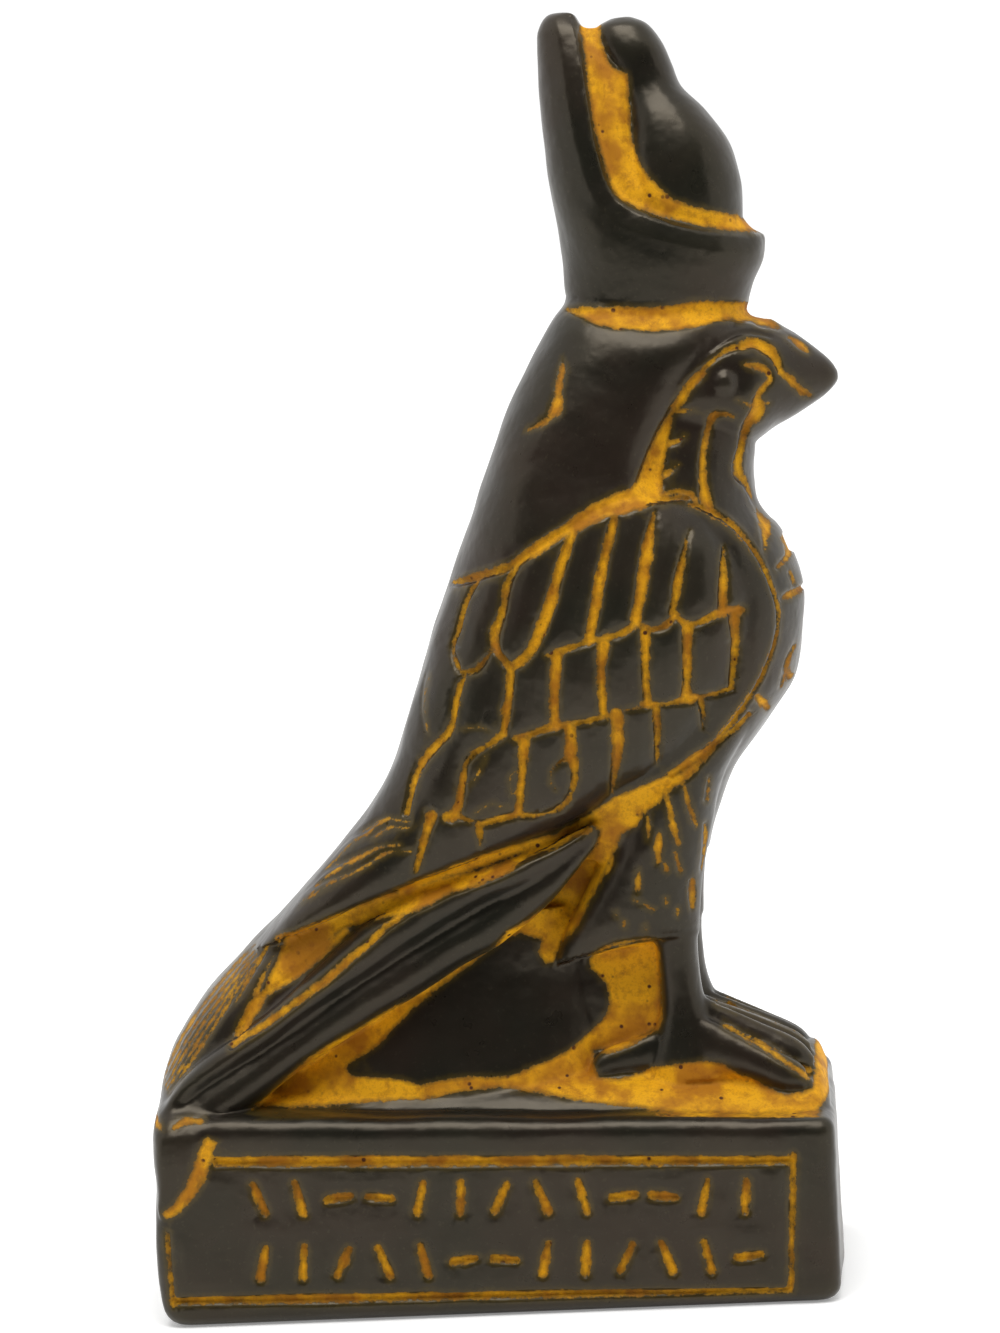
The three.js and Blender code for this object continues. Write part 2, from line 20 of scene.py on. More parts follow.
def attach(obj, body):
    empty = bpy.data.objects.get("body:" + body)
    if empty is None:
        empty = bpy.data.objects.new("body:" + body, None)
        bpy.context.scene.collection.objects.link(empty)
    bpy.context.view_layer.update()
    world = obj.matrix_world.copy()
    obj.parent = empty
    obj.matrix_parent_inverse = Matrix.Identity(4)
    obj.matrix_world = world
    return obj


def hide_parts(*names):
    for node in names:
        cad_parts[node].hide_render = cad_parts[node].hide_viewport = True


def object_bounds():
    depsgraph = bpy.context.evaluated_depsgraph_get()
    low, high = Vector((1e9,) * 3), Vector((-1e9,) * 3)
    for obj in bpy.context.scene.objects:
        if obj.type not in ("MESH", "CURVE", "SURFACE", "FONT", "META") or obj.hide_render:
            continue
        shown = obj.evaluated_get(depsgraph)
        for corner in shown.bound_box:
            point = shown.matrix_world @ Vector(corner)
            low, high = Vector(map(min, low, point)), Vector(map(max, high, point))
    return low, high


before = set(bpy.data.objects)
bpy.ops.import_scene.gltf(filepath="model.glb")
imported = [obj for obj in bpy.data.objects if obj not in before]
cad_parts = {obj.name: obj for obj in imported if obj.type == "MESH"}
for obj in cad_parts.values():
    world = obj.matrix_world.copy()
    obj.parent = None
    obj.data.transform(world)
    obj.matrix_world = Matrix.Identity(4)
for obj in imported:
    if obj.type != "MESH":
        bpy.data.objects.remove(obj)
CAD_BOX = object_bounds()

LOG = logging.getLogger("falcon")
MILLIMETRE = 0.001
NODE = "falcon_figure"
SKETCH_HEIGHT = 159.0  # height of the crown's tip on the sketch
FAR_OUTSIDE = -6.0  # reach of bare skin, in millimetres inside the ochre
WELL_INSIDE = 4.0  # the most that such a reach says
ROUND_STEPS = 6  # points along a rounded edge or corner
LINE_STEP = 0.6  # between the stations of a groove's line
EDGE_STEP = 0.8  # between the corners of a smooth field's outline
LEAST_HALF = 0.05  # half width below which a line counts as no thinner
HAND_WAVER = 0.12  # share by which the width of a channel cut by hand varies
NOISE, MATH, RANGE, MIX = "ShaderNodeTexNoise", "ShaderNodeMath", "ShaderNodeMapRange", "ShaderNodeMix"

Point = tuple[float, float]  # x and z
Station = tuple[float, float, float]  # x, z and the width or the distance aside
Spot = tuple[float, float, float]  # x, y and z
Node = bpy.types.Node
Socket = bpy.types.NodeSocket
Input = float | str | tuple | Node | Socket


class Place(Enum):
    """The surfaces that a groove or a painted field lies on."""

    FLANKS = "both flanks"
    RIGHT = "the right flank"
    ROUND = "both flanks, and on round the front and the back"
    PLINTH_SIDES = "both sides of the plinth"
    PLINTH_RIGHT = "the plinth's right side"


def smooth_step(low: float, high: float, value: np.ndarray) -> np.ndarray:
    """Rise from 0 to 1 between two values.

    Args:
        low: the value up to which the result is 0.
        high: the value from which the result is 1.
        value: the values to look up.

    Returns:
        The smooth share for each value.
    """
    share = np.clip((value - low) / (high - low), 0.0, 1.0)
    return share * share * (3.0 - 2.0 * share)


def spline(points: np.ndarray, places: np.ndarray) -> np.ndarray:
    """Follow a centripetal Catmull-Rom spline.

    Args:
        points: the spline's points, one to a row.
        places: where to look, from 0 at the first point to 1 at the last.

    Returns:
        One point to a row.
    """
    padded = np.vstack([2 * points[:1] - points[1:2], points, 2 * points[-1:] - points[-2:-1]])
    along = np.clip(places, 0.0, 1.0) * (len(points) - 1)
    first = np.minimum(along.astype(int), len(points) - 2)
    t = (along - first)[:, None]
    p0, p1, p2, p3 = (padded[first + k] for k in range(4))
    d0, d1, d2 = (
        np.sqrt(np.linalg.norm(b - a, axis=1, keepdims=True)) for a, b in ((p0, p1), (p1, p2), (p2, p3))
    )
    d1 = np.where(d1 < 1e-4, 1.0, d1)
    d0, d2 = np.where(d0 < 1e-4, d1, d0), np.where(d2 < 1e-4, d1, d2)
    leave = d1 * ((p1 - p0) / d0 - (p2 - p0) / (d0 + d1) + (p2 - p1) / d1)
    reach = d1 * ((p2 - p1) / d1 - (p3 - p1) / (d1 + d2) + (p3 - p2) / d2)
    square = -3 * p1 + 3 * p2 - 2 * leave - reach
    cube = 2 * p1 - 2 * p2 + leave + reach
    return p1 + t * (leave + t * (square + t * cube))


def along_line(points: np.ndarray, step: float) -> np.ndarray:
    """Follow a spline in steps of about the given length.

    Args:
        points: the spline's points, one to a row.
        step: the wanted distance between two results, in millimetres.

    Returns:
        One point to a row.
    """
    length = float(np.linalg.norm(np.diff(points[:, :2], axis=0), axis=1).sum())
    return spline(points, np.linspace(0.0, 1.0, max(2, round(length / step) + 1)))


def between(first: list[Station], second: list[Station], share: float) -> list[Station]:
    """Lead a line between two others.

    Args:
        first: the one line's stations.
        second: the other line's stations, as many as the first has.
        share: 0 for the first line, 1 for the second.

    Returns:
        The stations of the line between.
    """
    pairs = zip(first, second, strict=True)
    return [tuple(a + share * (b - a) for a, b in zip(one, other, strict=True)) for one, other in pairs]


@dataclass
class Skin:
    """A closed mesh in the making: points in millimetres, and its faces."""

    points: np.ndarray
    faces: list[tuple[int, ...]]

    def mirrored(self) -> "Skin":
        """Return the same skin on the other side of the figure's middle plane."""
        return Skin(self.points * (1, -1, 1), [face[::-1] for face in self.faces])

    def lowered(self, distance: float) -> "Skin":
        """Return the same skin, lower by a distance in millimetres."""
        return Skin(self.points - (0, 0, distance), self.faces)

    def to_object(self, name: str) -> bpy.types.Object:
        """Make an object of the skin, in millimetres, with its faces turned outwards.

        Args:
            name: the object's name.

        Returns:
            The linked object.
        """
        mesh = bpy.data.meshes.new(name)
        mesh.from_pydata(self.points.tolist(), [], self.faces)
        work = bmesh.new()
        work.from_mesh(mesh)
        bmesh.ops.recalc_face_normals(work, faces=work.faces)
        work.to_mesh(mesh)
        work.free()
        made = bpy.data.objects.new(name, mesh)
        bpy.context.scene.collection.objects.link(made)
        return made


def stacked_faces(rings: int, count: int) -> list[tuple[int, ...]]:
    """List the faces between rings of points that lie one on the next, and the two that close the ends.

    Args:
        rings: how many rings there are.
        count: how many points a ring has.

    Returns:
        The faces, as indices of points that are numbered ring by ring.
    """
    after = [(i + 1) % count for i in range(count)]
    faces: list[tuple[int, ...]] = [tuple(reversed(range(count)))]
    for low in range(0, (rings - 1) * count, count):
        faces += [
            (low + i, low + after[i], low + count + after[i], low + count + i)
            for i in range(count)
        ]
    faces.append(tuple(range((rings - 1) * count, rings * count)))
    return faces


@dataclass
class Body:
    """A rounded body over ribs, drawn in side view.

    A rib is rear x, rear z, front x, front z, half width and, where they aren't 0, its distance aside
    and how far it bows up. Boxiness 2 gives round sections, more gives squarer ones.
    """

    ribs: list[tuple[float, ...]]
    boxiness: float = 2.0
    rows: int = 90
    columns: int = 96

    def skin(self) -> Skin:
        """Build the body's closed skin."""
        ribs = np.array([(*rib, 0.0, 0.0)[:7] for rib in self.ribs])
        places = np.linspace(0.0, 1.0, self.rows)
        rear = spline(ribs[:, [0, 4, 1]], places)[:, None, :]
        front = spline(ribs[:, [2, 5, 3]], places)[:, None, :]
        bow = np.interp(places * (len(ribs) - 1), np.arange(len(ribs)), ribs[:, 6])[:, None]
        angle = np.linspace(0.0, 2.0 * math.pi, self.columns, endpoint=False)[None, :]
        power = 2.0 / self.boxiness
        across = np.sign(np.sin(angle)) * np.abs(np.sin(angle)) ** power
        along = (1.0 + np.sign(np.cos(angle)) * np.abs(np.cos(angle)) ** power) / 2.0
        x = rear[..., 0] + along * (front[..., 0] - rear[..., 0])
        y = front[..., 1] + across * rear[..., 1]
        z = rear[..., 2] + along * (front[..., 2] - rear[..., 2]) + bow * 4.0 * along * (1.0 - along)
        rings = np.stack([x, y, z], axis=2)
        return Skin(rings.reshape(-1, 3), stacked_faces(self.rows, self.columns))


@dataclass
class Wall:
    """A wall with the given outline in side view, and rounded edges.

    The batter is the share of its thickness that it loses from its foot to its top.
    """

    outline: list[Point]
    half_width: float
    radius: float = 0.0
    batter: float = 0.0

    def skin(self) -> Skin:
        """Build the wall's closed skin."""
        turns = np.linspace(0.0, math.pi / 2.0, ROUND_STEPS if self.radius else 1)
        layers = [
            (self.radius * (1.0 - math.sin(a)), self.half_width - self.radius * (1.0 - math.cos(a)))
            for a in turns
        ]
        layers = [(inset, -y) for inset, y in layers] + [(inset, y) for inset, y in reversed(layers)]
        height = np.array(self.outline)[:, 1]
        narrowing = 1.0 - self.batter * (height - height.min()) / np.ptp(height)
        rings = [np.insert(self._inset(inset), 1, y * narrowing, axis=1) for inset, y in layers]
        return Skin(np.vstack(rings), stacked_faces(len(rings), len(self.outline)))

    def _inset(self, distance: float) -> np.ndarray:
        """Draw the outline in by a distance.

        Args:
            distance: how far every edge moves inwards, in millimetres.

        Returns:
            The corners, x and z to a row.
        """
        corners = np.array(self.outline, float)
        way = np.roll(corners, -1, axis=0) - corners
        way /= np.linalg.norm(way, axis=1, keepdims=True)
        normal = np.stack([-way[:, 1], way[:, 0]], axis=1)
        after = np.roll(corners, -1, axis=0)
        area = float((corners[:, 0] * after[:, 1] - corners[:, 1] * after[:, 0]).sum())
        before = np.roll(normal, 1, axis=0)
        mitre = (normal + before) / (1.0 + np.sum(normal * before, axis=1, keepdims=True))
        return corners + math.copysign(distance, area) * mitre


def distance_to_line(spots: np.ndarray, line: np.ndarray) -> tuple[np.ndarray, np.ndarray]:
    """Measure how far spots are from a line of stations, against the line's own width there.

    Args:
        spots: the spots, x and z to a row.
        line: the line's stations, x, z and width to a row.

    Returns:
        The distance from the line, and half the line's width at the nearest place on it.
    """
    best = np.full(len(spots), np.inf)
    nearest = np.full(len(spots), np.inf)
    half = np.zeros(len(spots))
    for start, end in zip(line[:-1], line[1:], strict=True):
        way = end[:2] - start[:2]
        share = np.clip((spots - start[:2]) @ way / max(float(way @ way), 1e-9), 0.0, 1.0)
        gap = np.linalg.norm(spots - start[:2] - share[:, None] * way, axis=1)
        width = (start[2] + share * (end[2] - start[2])) / 2.0
        better = gap - width < best
        best = np.where(better, gap - width, best)
        nearest = np.where(better, gap, nearest)
        half = np.where(better, width, half)
    return nearest, half


def depth_in_field(spots: np.ndarray, outline: np.ndarray) -> np.ndarray:
    """Measure how far spots lie inside a closed outline.

    Args:
        spots: the spots, x and z to a row.
        outline: the outline's corners, x and z to a row.

    Returns:
        The distance to the outline, negative outside it.
    """
    gap = np.full(len(spots), np.inf)
    inside = np.zeros(len(spots), bool)
    for start, end in zip(outline, np.roll(outline, -1, axis=0), strict=True):
        way = end - start
        share = np.clip((spots - start) @ way / max(float(way @ way), 1e-9), 0.0, 1.0)
        gap = np.minimum(gap, np.linalg.norm(spots - start - share[:, None] * way, axis=1))
        level = (start[1] > spots[:, 1]) != (end[1] > spots[:, 1])
        rise = way[1] if abs(way[1]) > 1e-9 else 1e-9
        inside ^= level & (spots[:, 0] < start[0] + (spots[:, 1] - start[1]) * way[0] / rise)
    return np.where(inside, gap, -gap)


@dataclass
class Groove:
    """A channel cut by hand through stations of x, z and width, with ochre left in it.

    The painted margin widens the ochre beyond the channel, or narrows it where it is negative, and
    None leaves the channel bare. The shoulder rounds the skin off towards the channel by that much.
    """

    stations: list[Station]
    depth: float = 0.8
    place: Place = Place.FLANKS
    painted: float | None = 0.0
    smooth: bool = True
    shoulder: float = 0.0

    def line(self, chance: np.random.Generator) -> np.ndarray:
        """Return the channel's line, with the uneven width of handwork.

        Args:
            chance: where the unevenness comes from.

        Returns:
            Stations about LINE_STEP apart, x, z and width to a row.
        """
        stations = np.array(self.stations, float)
        if self.smooth:
            line = along_line(stations, LINE_STEP)
        else:
            legs = [stations[i : i + 2] for i in range(len(stations) - 1)]
            line = np.vstack([along_line(leg, LINE_STEP) for leg in legs])
        rough = np.convolve(chance.normal(0.0, 1.0, len(line) + 2), (0.25, 0.5, 0.25), "valid")
        line[:, 2] *= 1.0 + HAND_WAVER * rough
        return line


@dataclass
class Field:
    """A field with its outline in side view, sunk by its depth and painted or bare.

    A negative depth raises it. Its exceptions are outlines inside it where the skin keeps its own
    height and colour. The full depth is reached at the edge's distance inside the outline.
    """

    outline: list[Point]
    exceptions: list[list[Point]] = field(default_factory=list)
    depth: float = 0.0
    place: Place = Place.ROUND
    smooth: bool = True
    painted: bool = True
    edge: float = 0.5

    def reach(self, spots: np.ndarray) -> np.ndarray:
        """Measure how far inside the field spots lie.

        Args:
            spots: the spots, x and z to a row.

        Returns:
            The distance to the field's edge, negative outside it.
        """
        reach = depth_in_field(spots, self._edge(self.outline))
        for outline in self.exceptions:
            reach = np.minimum(reach, -depth_in_field(spots, self._edge(outline)))
        return reach

    def _edge(self, outline: list[Point]) -> np.ndarray:
        """Return an outline's corners, rounded where the field is smooth."""
        corners = np.array(outline, float)
        return along_line(np.vstack([corners, corners[:1]]), EDGE_STEP)[:-1] if self.smooth else corners


@dataclass
class Plinth:
    """The oblong block, with a border on both sides and two rows of strokes on its right side."""

    length: float = 84.0
    width: float = 40.0
    rear_height: float = 26.6
    front_height: float = 23.2
    edge_radius: float = 2.2
    rear_flare: float = 0.7
    rear_bulge: float = 0.8
    bulge_height: float = 7.5
    foot_radius: float = 3.2
    rear_radius: float = 3.6
    corner_ease: float = 0.1  # how much further than its radius a corner's curve reaches
    feet_x: float = 24.0
    feet_on_sketch: float = 24.0
    groove_depth: float = 0.8
    border_width: float = 1.2
    border_from_top: float = 5.2
    border_from_foot_rear: float = 3.6
    border_from_foot_front: float = 1.9
    border_from_front_top: float = 5.4
    border_from_front_foot: float = 6.6
    border_from_rear: float = 1.4
    border_from_rear_corner: float = 7.5
    border_rear_break: float = 9.0
    chip_depth: float = 0.15
    border_shoulder: float = 0.12
    stroke_shoulder: float = 0.1
    stroke_depth: float = 0.65
    stroke_width: float = 1.3
    stroke_spacing: float = 4.8
    upright_stroke: float = 3.9
    level_stroke: float = 2.9
    strokes_from_border: float = 2.4
    leanings: tuple[float, ...] = (14.0, 84.0, -20.0, 6.0, 97.0, -12.0, 28.0)  # degrees from upright

    @property
    def drop(self) -> float:
        """Return how far the sketch lies above the model."""
        return self.feet_on_sketch - self._height(self.feet_x)

    @property
    def rear(self) -> float:
        """Return x of the plinth's foot at the rear."""
        return -self.length / 2.0 - self.rear_flare

    def top(self, x: float) -> float:
        """Return the height of the plinth's top at x on the sketch."""
        return self._height(x) + self.drop

    def _height(self, x: float) -> float:
        """Return the height of the plinth's top at x above its underside."""
        slope = (self.front_height - self.rear_height) / self.length
        return (self.rear_height + self.front_height) / 2.0 + slope * x

    def skins(self) -> list[Skin]:
        """Build the block."""
        front = self.length / 2.0
        bulge = (self.rear - self.rear_bulge, self.bulge_height)
        lower = [(self.rear, self.drop), (front, self.drop)]
        corners = [*lower, (front, self.top(front)), (-front, self.top(-front)), bulge]
        foot, edge = self.foot_radius, self.edge_radius
        outline = []
        for k, reach in enumerate((foot, foot, edge, self.rear_radius, foot)):
            outline += self._rounded(corners[k - 1], corners[k], corners[(k + 1) % len(corners)], reach)
        return [Wall(outline, self.width / 2.0, self.edge_radius).skin()]

    def _rounded(self, before: Point, corner: Point, after: Point, reach: float) -> list[Point]:
        """Round a corner of the block's outline.

        Args:
            before: the corner before it.
            corner: the corner.
            after: the corner after it.
            reach: how far from the corner the curve starts and ends.

        Returns:
            The points of a curve in place of the corner.
        """
        reach += self.corner_ease
        ends = []
        for other in (before, after):
            gap = math.dist(corner, other)
            ends.append([c + (o - c) * reach / gap for c, o in zip(corner, other, strict=True)])
        points = (ends[0], corner, ends[1])
        curve = []
        for t in np.linspace(0.0, 1.0, ROUND_STEPS):
            weights = ((1 - t) ** 2, 2 * t * (1 - t), t * t)
            curve.append(
                tuple(sum(w * p[k] for w, p in zip(weights, points, strict=True)) for k in (0, 1))
            )
        return curve

    def grooves(self) -> list[Groove]:
        """Return the border on both sides, two chips at the ends, and the strokes on the right side."""
        rear = self.rear + self.border_from_rear
        corner = -self.length / 2.0 + self.border_from_rear_corner
        front = self.length / 2.0 - self.border_from_front_top
        front_foot = self.length / 2.0 - self.border_from_front_foot
        wide = self.border_width
        # places along the border, and the share of its width that it has there
        top = ((corner, 1.0), (corner + 9.0, 1.3), (front - 9.0, 1.0), (front, 0.9))
        foot = ((front_foot, 0.5), (front_foot - 14.0, 0.8), (-24.0, 1.0), (rear, 0.8))
        lines = [
            [(x, self._border_top(x), wide * share) for x, share in top],
            [
                (front, self._border_top(front) + wide / 2.0, wide * 0.75),
                (front_foot, self._border_foot(front_foot), wide * 0.6),
            ],
            [(x, self._border_foot(x), wide * share) for x, share in foot],
            [
                (rear, self._border_foot(rear) - wide / 2.0, wide * 0.5),
                (rear, self._border_top(rear) - self.border_rear_break, wide * 0.5),
            ],
        ]
        shoulder = self.border_shoulder
        made = [
            Groove(line, self.groove_depth, Place.PLINTH_SIDES, smooth=False, shoulder=shoulder)
            for line in lines
        ]
        chips = [
            [(37.6, 4.2, 0.9), (39.4, 4.8, 1.2), (41.0, 5.5, 0.4)],
            [
                (-42.1, 26.2, 0.9), (-41.2, 25.1, 1.2), (-40.3, 24.5, 1.2), (-39.4, 25.4, 1.0),
                (-38.6, 26.2, 1.0), (-36.1, 26.2, 0.5),
            ],
        ]
        made += [Groove(chip, self.chip_depth, Place.ROUND) for chip in chips]
        inset = self.strokes_from_border
        return made + self._strokes(corner + inset, front_foot - inset)

    def _border_top(self, x: float) -> float:
        """Return the height of the border's upper line at x."""
        return self.top(x) - self.border_from_top

    def _border_foot(self, x: float) -> float:
        """Work out the height of the border's lower line.

        Args:
            x: the place along the plinth.

        Returns:
            The line's height there, on the sketch.
        """
        ends = (self.rear + self.border_from_rear, self.length / 2.0 - self.border_from_front_foot)
        heights = (self.border_from_foot_rear, self.border_from_foot_front)
        return float(np.interp(x, ends, heights)) + self.drop

    def _strokes(self, left: float, right: float) -> list[Groove]:
        """Cut two rows of shallow strokes in place of writing: they lean or lie in turn.

        Args:
            left: x where the rows start.
            right: x where the rows end.

        Returns:
            The strokes' grooves.
        """
        stroke = partial(
            Groove,
            depth=self.stroke_depth,
            place=Place.PLINTH_RIGHT,
            painted=-0.05,
            smooth=False,
            shoulder=self.stroke_shoulder,
        )
        columns = int((right - left) / self.stroke_spacing)
        made = []
        for row in range(2):
            for column in range(columns):
                lean = math.radians(self.leanings[(3 * column + 2 * row) % len(self.leanings)])
                flat = math.sin(lean) ** 2
                length = self.upright_stroke + flat * (self.level_stroke - self.upright_stroke)
                x = left + (column + 0.5) * (right - left) / columns
                low = self._border_foot(x) + self.border_width / 2.0
                high = self._border_top(x) - self.border_width / 2.0
                z = low + (row + 0.5) / 2.0 * (high - low)
                ahead, up = math.sin(lean) * length / 2.0, math.cos(lean) * length / 2.0
                ends = [
                    (x - ahead, z - up, self.stroke_width),
                    (x, z, self.stroke_width),
                    (x + ahead, z + up, self.stroke_width * 0.8),
                ]
                made.append(stroke(ends))
        return made

    def fields(self) -> list[Field]:
        """Return no fields: the plinth's ochre lies in its lines."""
        return []


@dataclass
class Wings:
    """The mantle over the back, the wings with their rows of feathers, and their tips."""

    feather_depth: float = 0.75
    tip_share: float = 0.75  # depth round a feather's tip, against that between two feathers
    shoulder: float = 0.2
    rise: float = 0.45

    def skins(self) -> list[Skin]:
        """Build the mantle and the wings as one body."""
        ribs = [
            (14.0, 124.4, 35.4, 121.6, 8.2),
            (12.4, 122.4, 35.8, 120.4, 9.8),
            (10.4, 119.0, 35.0, 117.8, 11.4),
            (7.3, 113.6, 30.6, 113.2, 12.8),
            (4.7, 108.2, 27.4, 108.0, 14.2),
            (2.3, 102.4, 26.0, 103.0, 15.6),
            (0.5, 98.0, 30.4, 98.6, 16.8),
            (-1.5, 93.0, 35.9, 93.0, 17.6),
            (-3.4, 88.4, 38.0, 88.2, 18.1),
            (-5.3, 83.8, 38.2, 83.6, 18.3),
            (-7.4, 78.2, 36.6, 78.6, 18.2),
            (-9.3, 73.2, 33.8, 73.4, 17.8),
            (-11.2, 67.8, 28.6, 68.2, 17.2),
            (-14.6, 62.2, 20.8, 64.2, 16.4),
            (-19.2, 57.0, 11.2, 59.8, 15.6),
            (-24.4, 51.5, -1.0, 55.8, 14.8),
            (-28.6, 47.2, -12.0, 52.4, 13.8),
            (-30.6, 45.2, -22.0, 48.6, 12.0),
        ]
        return [Body(ribs, boxiness=2.7, rows=130, columns=120).skin()]

    def grooves(self) -> list[Groove]:
        """Return the grooves round the wing, between its feathers and along its foot, and the flakes."""
        made = [
            Groove(
                [
                    (-2.8, 90.0, 0.7), (0.2, 90.9, 1.0), (2.0, 91.6, 1.1), (5.5, 92.6, 1.2),
                    (8.0, 94.0, 1.4), (11.0, 95.8, 1.6), (14.0, 97.4, 1.8), (17.0, 98.9, 2.2),
                    (20.0, 99.8, 2.8), (22.5, 100.2, 2.6), (25.0, 99.8, 1.2), (28.0, 99.6, 0.4),
                ],
                depth=0.8,
            ),
            Groove(
                [
                    (28.0, 98.9, 0.5), (30.0, 98.1, 0.8), (32.2, 96.6, 0.9), (33.9, 95.0, 0.8),
                    (35.4, 92.9, 0.7), (36.6, 90.6, 0.7), (37.5, 88.1, 0.6), (38.1, 85.6, 0.5),
                    (38.1, 83.5, 0.5), (37.5, 81.0, 0.6), (36.4, 78.5, 0.7), (35.2, 76.4, 0.7),
                    (33.1, 73.5, 0.8), (31.0, 71.0, 0.9), (28.9, 68.9, 1.0), (27.0, 67.6, 1.2),
                    (24.0, 65.8, 1.0),
                ],
                depth=0.7,
            ),
        ]
        made += [
            Groove(line, self.feather_depth, painted=-0.08, shoulder=self.shoulder)
            for line in self._between_feathers()
        ]
        made += [
            Groove(line, self.feather_depth * self.tip_share, painted=-0.06, shoulder=self.shoulder)
            for line in self._round_tips()
        ]
        made.append(
            Groove(
                [
                    (-10.1, 52.9, 1.2), (-4.0, 55.0, 1.4), (2.3, 56.9, 1.4), (8.6, 58.2, 1.2),
                    (13.6, 59.4, 0.6),
                ],
                0.05,
                painted=0.1,
            )
        )
        flakes = [
            [(-5.2, 79.5, 0.3), (-5.8, 77.0, 0.4), (-5.8, 74.0, 0.4), (-5.5, 72.5, 0.3)],
            [(-1.0, 73.1, 0.3), (1.2, 73.4, 0.35), (3.2, 72.5, 0.3)],
            [(1.8, 70.0, 0.3), (0.5, 67.5, 0.45), (-0.8, 66.0, 0.3)],
            [(5.8, 68.0, 0.3), (4.5, 67.0, 0.4), (4.5, 65.5, 0.4), (5.1, 64.5, 0.3)],
            [(0.0, 62.8, 0.3), (2.0, 63.8, 0.4), (4.0, 63.1, 0.3)],
        ]
        made += [Groove(line, 0.2, painted=-0.1) for line in flakes]
        return made

    def _between_feathers(self) -> list[list[Station]]:
        """Return the grooves between neighbouring feathers, row by row from above."""
        return [
            [
                (2.0, 91.5, 0.9), (0.2, 88.5, 0.8), (-1.0, 85.0, 0.8), (-1.8, 82.8, 0.7),
                (-1.2, 80.5, 0.8),
            ],
            [
                (7.0, 93.3, 0.9), (5.5, 90.5, 1.1), (4.8, 87.5, 1.2), (3.5, 84.0, 1.3),
                (4.2, 82.0, 1.0), (5.4, 80.5, 1.0),
            ],
            [(3.6, 84.0, 0.8), (2.8, 82.3, 0.7), (1.0, 80.3, 0.9), (-1.0, 80.0, 0.6)],
            [
                (14.0, 96.8, 1.1), (12.8, 94.0, 1.3), (11.5, 90.5, 1.5), (10.5, 87.5, 1.6),
                (9.2, 84.8, 1.6), (8.2, 82.8, 1.5), (6.5, 81.2, 1.4), (5.3, 80.5, 1.2),
            ],
            [
                (19.0, 97.8, 1.1), (18.0, 94.5, 1.4), (17.0, 91.0, 1.6), (16.2, 87.5, 1.5),
                (15.2, 83.4, 1.3),
            ],
            [
                (23.8, 98.3, 0.5), (23.2, 95.5, 1.4), (22.5, 92.5, 1.6), (21.8, 89.0, 1.5),
                (21.0, 85.8, 1.6),
            ],
            [
                (27.9, 95.8, 0.4), (27.2, 93.2, 0.9), (26.5, 90.5, 1.4), (25.8, 87.5, 1.1),
                (25.4, 86.3, 1.0),
            ],
            [(31.9, 93.4, 0.4), (31.8, 90.0, 1.3), (31.5, 86.3, 1.4)],
            [(-0.5, 79.6, 0.8), (-1.5, 77.0, 1.1), (-2.2, 74.0, 1.0), (-3.0, 72.4, 1.2)],
            [(5.4, 80.2, 1.3), (5.0, 77.5, 1.2), (4.5, 75.0, 1.3), (4.1, 72.6, 1.1)],
            [(11.2, 81.9, 1.7), (10.8, 79.0, 1.6), (10.5, 76.0, 1.4), (10.4, 73.3, 1.3)],
            [(17.0, 82.9, 1.8), (16.5, 80.5, 1.4), (16.4, 77.5, 1.2), (16.4, 74.3, 1.3)],
            [(22.0, 84.4, 1.6), (22.0, 82.0, 1.4), (21.8, 79.0, 1.1), (21.8, 75.4, 1.3)],
            [(27.2, 84.4, 1.5), (27.0, 81.5, 1.4), (26.8, 78.5, 1.3), (26.5, 75.6, 1.5)],
            [(32.8, 85.4, 1.6), (32.8, 82.0, 1.3), (32.4, 79.0, 1.0), (32.0, 76.2, 0.8)],
            [(-3.0, 72.4, 1.3), (-5.5, 70.0, 1.4), (-7.2, 67.5, 1.1), (-8.8, 62.6, 0.8)],
            [
                (0.3, 70.2, 0.9), (-0.8, 69.0, 0.8), (-1.5, 66.5, 1.2), (-2.0, 64.0, 1.2),
                (-3.0, 62.2, 1.5),
            ],
            [(6.5, 71.5, 1.8), (6.2, 69.0, 1.4), (5.8, 66.0, 1.2), (5.2, 62.4, 1.3)],
            [(12.2, 73.0, 1.7), (12.2, 70.5, 1.8), (12.0, 69.0, 1.6)],
            [(11.6, 69.3, 0.6), (9.6, 67.6, 0.4), (9.4, 66.2, 0.3), (10.0, 65.2, 0.3)],
            [(12.4, 68.8, 1.3), (12.4, 66.5, 0.9), (11.3, 63.6, 0.8), (10.0, 62.5, 0.9)],
            [(18.0, 74.2, 2.0), (18.0, 71.0, 1.7), (17.5, 68.0, 1.3), (16.6, 63.8, 0.4)],
            [(22.8, 75.0, 1.2), (22.8, 72.0, 1.1), (22.6, 69.5, 1.0), (22.4, 67.4, 0.3)],
            [(28.2, 75.2, 1.0), (28.4, 73.0, 0.8), (28.2, 71.4, 0.3)],
            [(-5.6, 62.4, 1.7), (-6.5, 60.0, 1.3), (-8.0, 55.6, 0.9)],
            [(0.2, 61.3, 1.3), (0.3, 59.8, 1.0), (0.2, 58.4, 0.4)],
        ]

